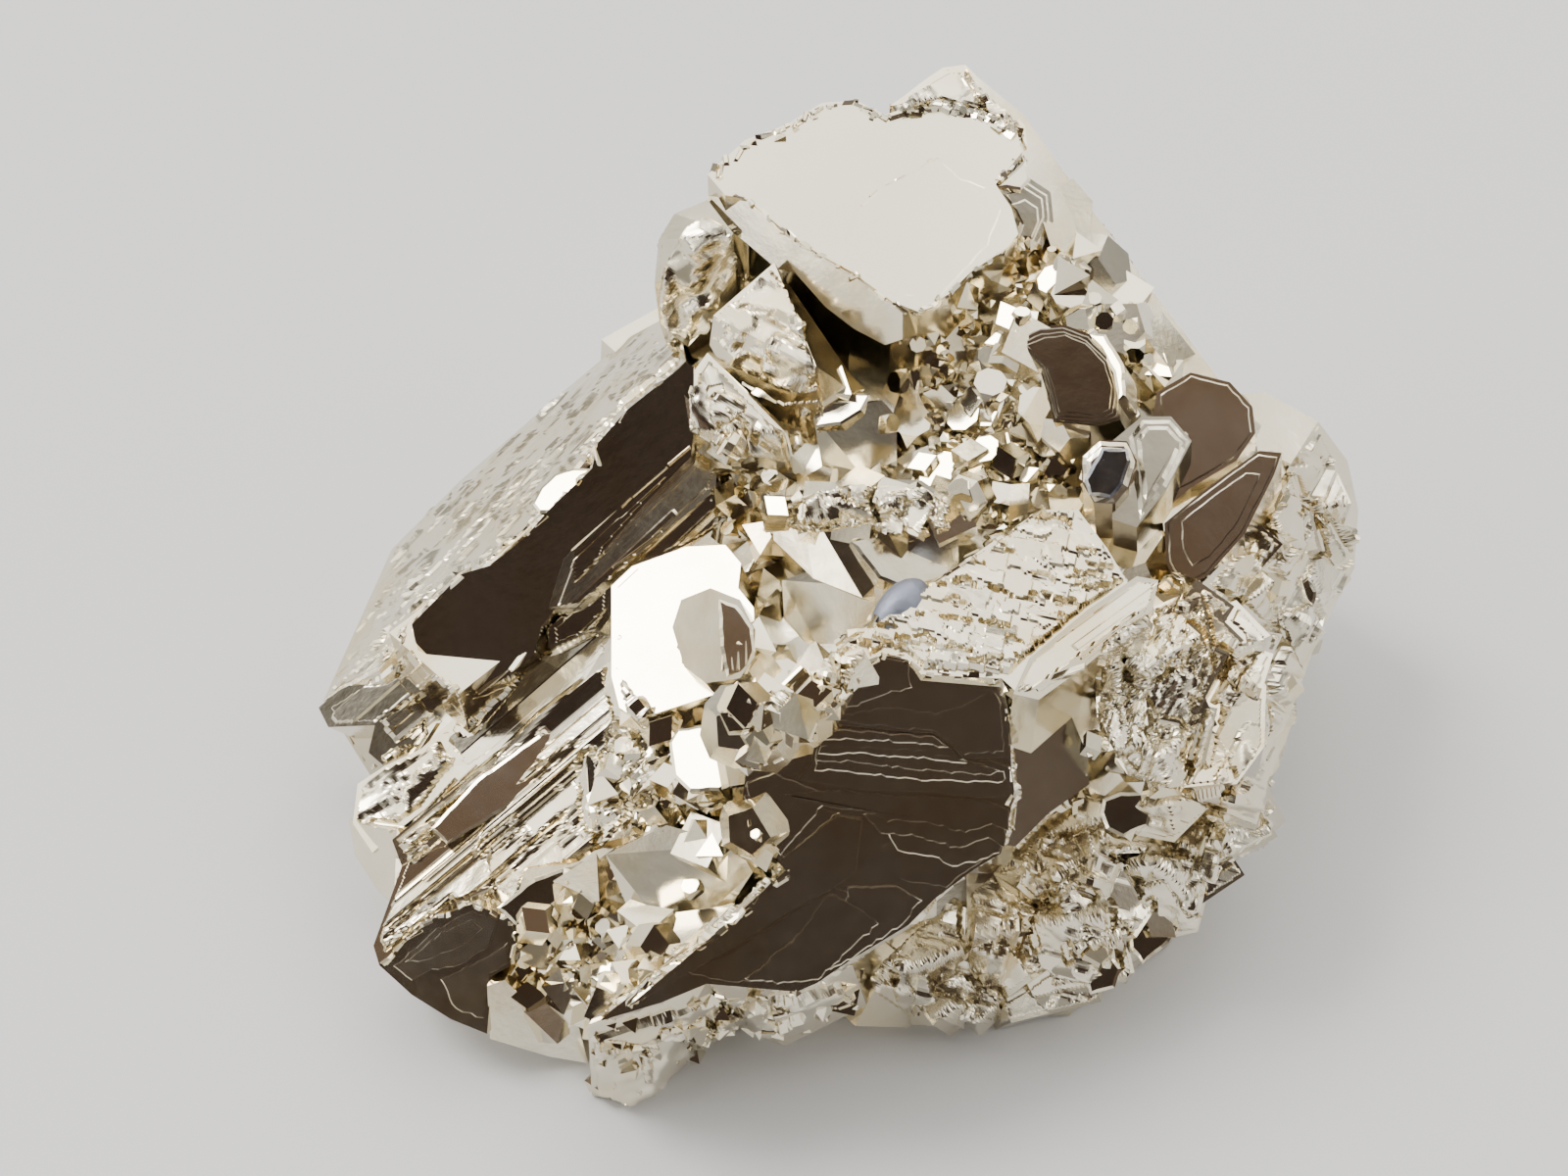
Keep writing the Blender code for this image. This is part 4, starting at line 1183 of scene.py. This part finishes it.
# %% Crystals of the hollows
RIGHT_HOLLOW = [
    (942, 338), (1035, 262), (1076, 256), (1110, 262), (1168, 330), (1195, 385), (1178, 404), (1156, 352),
    (1112, 336), (1062, 330), (1032, 342), (1060, 380), (1068, 432), (1100, 440), (1098, 512), (1060, 514),
    (1010, 540), (972, 512), (918, 480), (902, 420),
]
MIDDLE_HOLLOW = [
    (742, 470), (780, 480), (800, 500), (784, 545), (800, 600), (776, 640), (770, 560), (745, 545),
]
LEFT_HOLLOW = [
    (640, 748), (690, 735), (760, 715), (830, 700), (832, 735), (760, 768), (752, 800), (760, 835),
    (780, 862), (795, 885), (760, 900), (700, 842), (650, 850), (600, 810),
]
LOW_HOLLOW = [
    (535, 945), (606, 908), (640, 935), (690, 968), (650, 1005), (610, 1030), (560, 1040), (530, 990),
]
HOLLOWS = {"right": RIGHT_HOLLOW, "middle": MIDDLE_HOLLOW, "left": LEFT_HOLLOW, "low": LOW_HOLLOW}
CRYSTALS = {
    "pyritohedra": ("dodecahedron", 34.0, (2.0, 4.0), 0.5),
    "octahedra": ("octahedron", 32.0, (2.0, 4.2), 0.5),
    "cubes": ("cut_cube", 26.0, (0.8, 2.0), 0.4),
}
dice = random.Random(37)
for title, patch in HOLLOWS.items():
    for kind, (form, pitch, sizes, sunk) in CRYSTALS.items():
        strew(f"{title}_hollow_{kind}", form, on_patch(patch, pitch, sizes, sunk, dice), "pyrite_small")
strew("foot_grains", "octahedron", on_patch(FOOT, 13.0, (0.6, 2.0), 0.3, dice), "pyrite_small")

# %% Crystals that catch the lamp or the dark
# The dodecahedron's way is 18 degrees from its nearest face, so that face mirrors only the dark's edge.
FACE_WAYS = {
    "octahedron": Vector((1, 1, 1)),
    "cut_cube": Vector((0, 0, 1)),
    "dodecahedron": Vector((0, 1, 2)),
}
CATCHERS = [
    (
        "octahedron", "lamp", 0.3,
        [
            (1022, 294, 3.0), (1021, 340, 2.2), (968, 392, 2.8), (653, 772, 2.2), (622, 824, 3.2),
            (726, 858, 2.6), (862, 398, 3.4), (592, 918, 2.2), (1041, 480, 2.4),
        ],
    ),
    (
        "cut_cube", "lamp", 1.2,
        [(985, 428, 3.2), (617, 993, 2.0), (1078, 290, 3.0), (1008, 462, 2.6), (706, 905, 1.6)],
    ),
    (
        "cut_cube", "sky", 0.5,
        [(1062, 424, 4.4), (930, 436, 3.6), (1010, 396, 3.0), (1090, 306, 3.2), (800, 690, 2.6)],
    ),
    (
        "dodecahedron", "dark", 0.9,
        [
            (1178, 938, 4.2), (1146, 832, 4.0), (1116, 972, 3.0), (1098, 826, 2.0), (1086, 922, 2.6),
            (1300, 600, 2.6), (1312, 700, 2.8), (1118, 760, 2.4),
        ],
    ),
]


def catching(form, mirrored, spin, spots):
    """Stances of crystals turned so that the eye sees a direction mirrored in their form's way."""
    stances = []
    for u, v, size in spots:
        place = seen(u, v)[0]
        way = mirroring(place, mirrored)
        turn = FACE_WAYS[form].rotation_difference(way).to_matrix()
        turn = Matrix.Rotation(spin + u, 3, way) @ turn
        stances.append((place - way * size * 0.15 * MM, turn, [size / 2 * MM] * 3))
    return stances


for number, (form, mirrored, spin, spots) in enumerate(CATCHERS):
    strew(f"{mirrored}_catchers_{number}", form, catching(form, mirrored, spin, spots), "pyrite_small")

# %% Chips and bright lines along the edges
# Each edge: its line, how many passes, and the lengths, gaps, widths, heights, stray and tumble of its chips.
EDGES = {
    "top_edge_chips": (
        [
            (748, 198), (763, 204), (800, 236), (834, 259), (869, 278), (911, 309), (937, 319), (968, 301),
            (991, 278), (1026, 255),
        ], 2, (0.3, 1.6), (0.0, 1.8), (0.15, 0.6), (0.15, 0.5), 3.0, 0.5,
    ),
    "top_rim_chips": (
        [(716, 190), (760, 147), (803, 128), (838, 108), (873, 105), (903, 118)], 4, (0.4, 1.8), (0.0, 0.6),
        (0.3, 0.9), (0.2, 0.5), 7.0, 0.6,
    ),
    "peak_chips": (
        [(907, 116), (925, 113), (961, 108), (1003, 117), (1040, 138)], 7, (0.5, 1.8), (0.0, 0.4), (0.5, 1.2),
        (0.3, 0.9), 5.0, 0.6,
    ),
    "front_rim_chips": (
        [(612, 1040), (676, 992), (740, 944), (802, 890)], 3, (0.5, 2.4), (0.0, 0.4), (0.3, 0.8), (0.2, 0.5),
        5.0, 0.5,
    ),
    "front_left_chips": (
        [(780, 862), (760, 830), (763, 790), (832, 754), (836, 735)], 1, (0.4, 1.6), (0.1, 1.6), (0.2, 0.6),
        (0.15, 0.4), 2.5, 0.5,
    ),
    "front_top_chips": (
        [
            (850, 728), (872, 702), (880, 680), (900, 668), (926, 673), (940, 688), (985, 690), (1022, 692),
            (1030, 720), (1032, 783), (1035, 807), (1027, 850),
        ], 2, (0.4, 1.8), (0.1, 1.6), (0.2, 0.7), (0.2, 0.5), 4.0, 0.6,
    ),
    "long_ridge_chips": (
        [(750, 738), (800, 700), (860, 658), (960, 590), (1010, 552), (1064, 518)], 3, (0.8, 4.0), (0.0, 0.6),
        (0.3, 0.8), (0.2, 0.6), 6.0, 0.4,
    ),
    "left_blade_chips": (
        [
            (420, 638), (470, 586), (500, 577), (537, 547), (560, 520), (604, 478), (610, 452), (640, 418),
            (696, 372),
        ], 1, (0.3, 2.4), (0.2, 3.0), (0.15, 0.6), (0.15, 0.4), 2.5, 0.6,
    ),
    "corner_rim_chips": (
        [(388, 983), (440, 938), (482, 922), (520, 937), (527, 960), (521, 985)], 2, (0.4, 2.0), (0.0, 1.0),
        (0.2, 0.7), (0.2, 0.5), 3.0, 0.5,
    ),
    "notch_chips": (
        [(1018, 190), (1030, 178), (1045, 161)], 4, (0.5, 1.6), (0.0, 0.3), (0.4, 0.9), (0.3, 0.7), 4.0, 0.5,
    ),
    "top_face_marks": (
        [(877, 210), (903, 189), (957, 160)], 1, (0.3, 1.4), (0.1, 0.8), (0.15, 0.5), (0.05, 0.15), 2.0, 0.1,
    ),
}
for title, (line, passes, *chips) in EDGES.items():
    stances = [stance for _ in range(passes) for stance in along_line(line, *chips, dice)]
    strew(title, "flake", stances, "pyrite_small")

BRIGHT_LINES = {
    "blade_lines": [
        [(584, 562), (645, 508), (704, 456)],
        [(625, 583), (675, 540), (721, 498)],
        [(415, 777), (450, 742), (484, 709)],
        [(413, 847), (487, 780), (533, 750), (587, 703), (633, 663)],
        [(486, 706), (520, 684), (550, 652)],
        [(430, 900), (520, 830), (610, 762)],
    ],
    "disc_lines": [
        [(739, 618), (741, 686)],
        [(745, 620), (748, 687)],
        [(752, 622), (755, 686)],
        [(760, 632), (762, 680)],
    ],
    "ridge_lines": [
        [(1038, 706), (1080, 672), (1150, 622), (1182, 592)],
        [(1046, 712), (1110, 668), (1176, 612)],
        [(1156, 664), (1190, 642), (1218, 622)],
    ],
}
RIDGES = ((4.0, 12.0), (0.0, 0.3), (0.25, 0.6), (0.3, 0.7), 0.6, 0.1)
for title, lines in BRIGHT_LINES.items():
    stances = [stance for line in lines for stance in along_line(line, *RIDGES, dice)]
    strew(title, "ridge", stances, "pyrite_crystal")

# %% The smooth blue-grey grain
bpy.ops.object.select_all(action="DESELECT")
bpy.ops.mesh.primitive_ico_sphere_add(subdivisions=3, radius=1.0)
blue_grain = bpy.context.active_object
grain_place = seen(920, 617)[0]
for vertex in blue_grain.data.vertices:
    x, y, z = vertex.co
    vertex.co = grain_place + Vector((2.4 * x + 1.2 * y, 2.9 * y, 2.3 * z + 0.5 * y - 1.0)) * MM
blue_grain.data.polygons.foreach_set("use_smooth", [True] * len(blue_grain.data.polygons))
settle(blue_grain, "blue_grain", "pyrite_tarnished")

# %% [markdown]
# Floor, light and eye
#
# A mirror looks like what stands around it. The great faces that look at the eye are dark because it is dark
# behind the eye, and the top face is pale because a wide soft light hangs behind the specimen. So the room is
# a sky of soft panels with a dark place behind the eye and one small strong lamp, over a pale floor.

# %% Floor
bpy.ops.object.select_all(action="DESELECT")
bpy.ops.mesh.primitive_plane_add(size=4.0, location=(0, 0, -0.0002))
floor = bpy.context.active_object
floor.name = "floor"
paper = Recipe(bpy.data.materials.new("pale_paper"))
PAPER = (0.66, 0.67, 0.70, 1)
paper_shader = paper.node("ShaderNodeBsdfPrincipled", None, {"Base Color": PAPER, "Roughness": 0.8})
paper.node("ShaderNodeOutputMaterial", None, {"Surface": paper_shader})
floor.data.materials.append(paper.owner)

# %% Room and lamps
room = bpy.data.worlds.new("studio")
bpy.context.scene.world = room
sky = Recipe(room)
way = sky.node("ShaderNodeTexCoord", out="Generated")


def glow(direction, inner, outer):
    """1 within an inner angle of a direction, 0 beyond an outer one."""
    sockets = {0: way, 1: Vector(direction).normalized()}
    cosine = sky.node("ShaderNodeVectorMath", {"operation": "DOT_PRODUCT"}, sockets, out="Value")
    return sky.rise(cosine, math.cos(math.radians(outer)), math.cos(math.radians(inner)))


behind_eye = glow((-0.06, -0.60, 0.80), 23, 40)
bronze_panel = glow((0.62, -0.68, 0.40), 8, 26)
soft_top = glow((0.18, 0.56, 0.81), 14, 34)
overhead = glow((-0.02, -0.28, 0.96), 0, 15)
lamp = glow(LAMP, 8, 13)
left_panel = glow((-0.84, 0.14, 0.5), 16, 32)
right_panel = glow((0.70, 0.0, 0.71), 14, 26)
patches = sky.rise(sky.noise(way, 500.0, 2.0), 0.42, 0.58)
sparks = sky.rise(sky.noise(way, 200.0, 1.0), 0.66, 0.70)
daylight = 0.40 + 1.0 * patches + 2.3 * soft_top + 2.0 * left_panel + 1.2 * right_panel + 8.0 * sparks
light = daylight * (1.0 - behind_eye) * (1.0 - 0.98 * bronze_panel) + 20.0 * lamp
cream, brown = (1.0, 0.97, 0.90, 1.0), (1.0, 0.70, 0.56, 1.0)
haze = sky.rise(sky.noise(way, 80.0, 2.0), 0.35, 0.65)
dim = (0.03 + 0.05 * haze) * behind_eye + 0.10 * bronze_panel + 0.14 * overhead
background = sky.node("ShaderNodeBackground", None, {"Color": cream, "Strength": light})
backcloth = sky.node("ShaderNodeBackground", None, {"Color": brown, "Strength": dim})
both = sky.node("ShaderNodeAddShader", None, {0: background, 1: backcloth})
sky.node("ShaderNodeOutputWorld", None, {"Surface": both})

# %% Eye
camera = bpy.data.objects.new("eye", bpy.data.cameras.new("eye"))
bpy.context.scene.collection.objects.link(camera)
camera.data.lens = LENS
camera.data.sensor_width = SENSOR
camera.data.clip_start = 0.01
camera.location = EYE
camera.rotation_euler = EYE_FORWARD.to_track_quat("-Z", "Y").to_euler()
bpy.context.scene.camera = camera

# %% Print the solid's size
print("solid  mm:", [[round(x / MM, 2) for x in c] for c in cad_box])
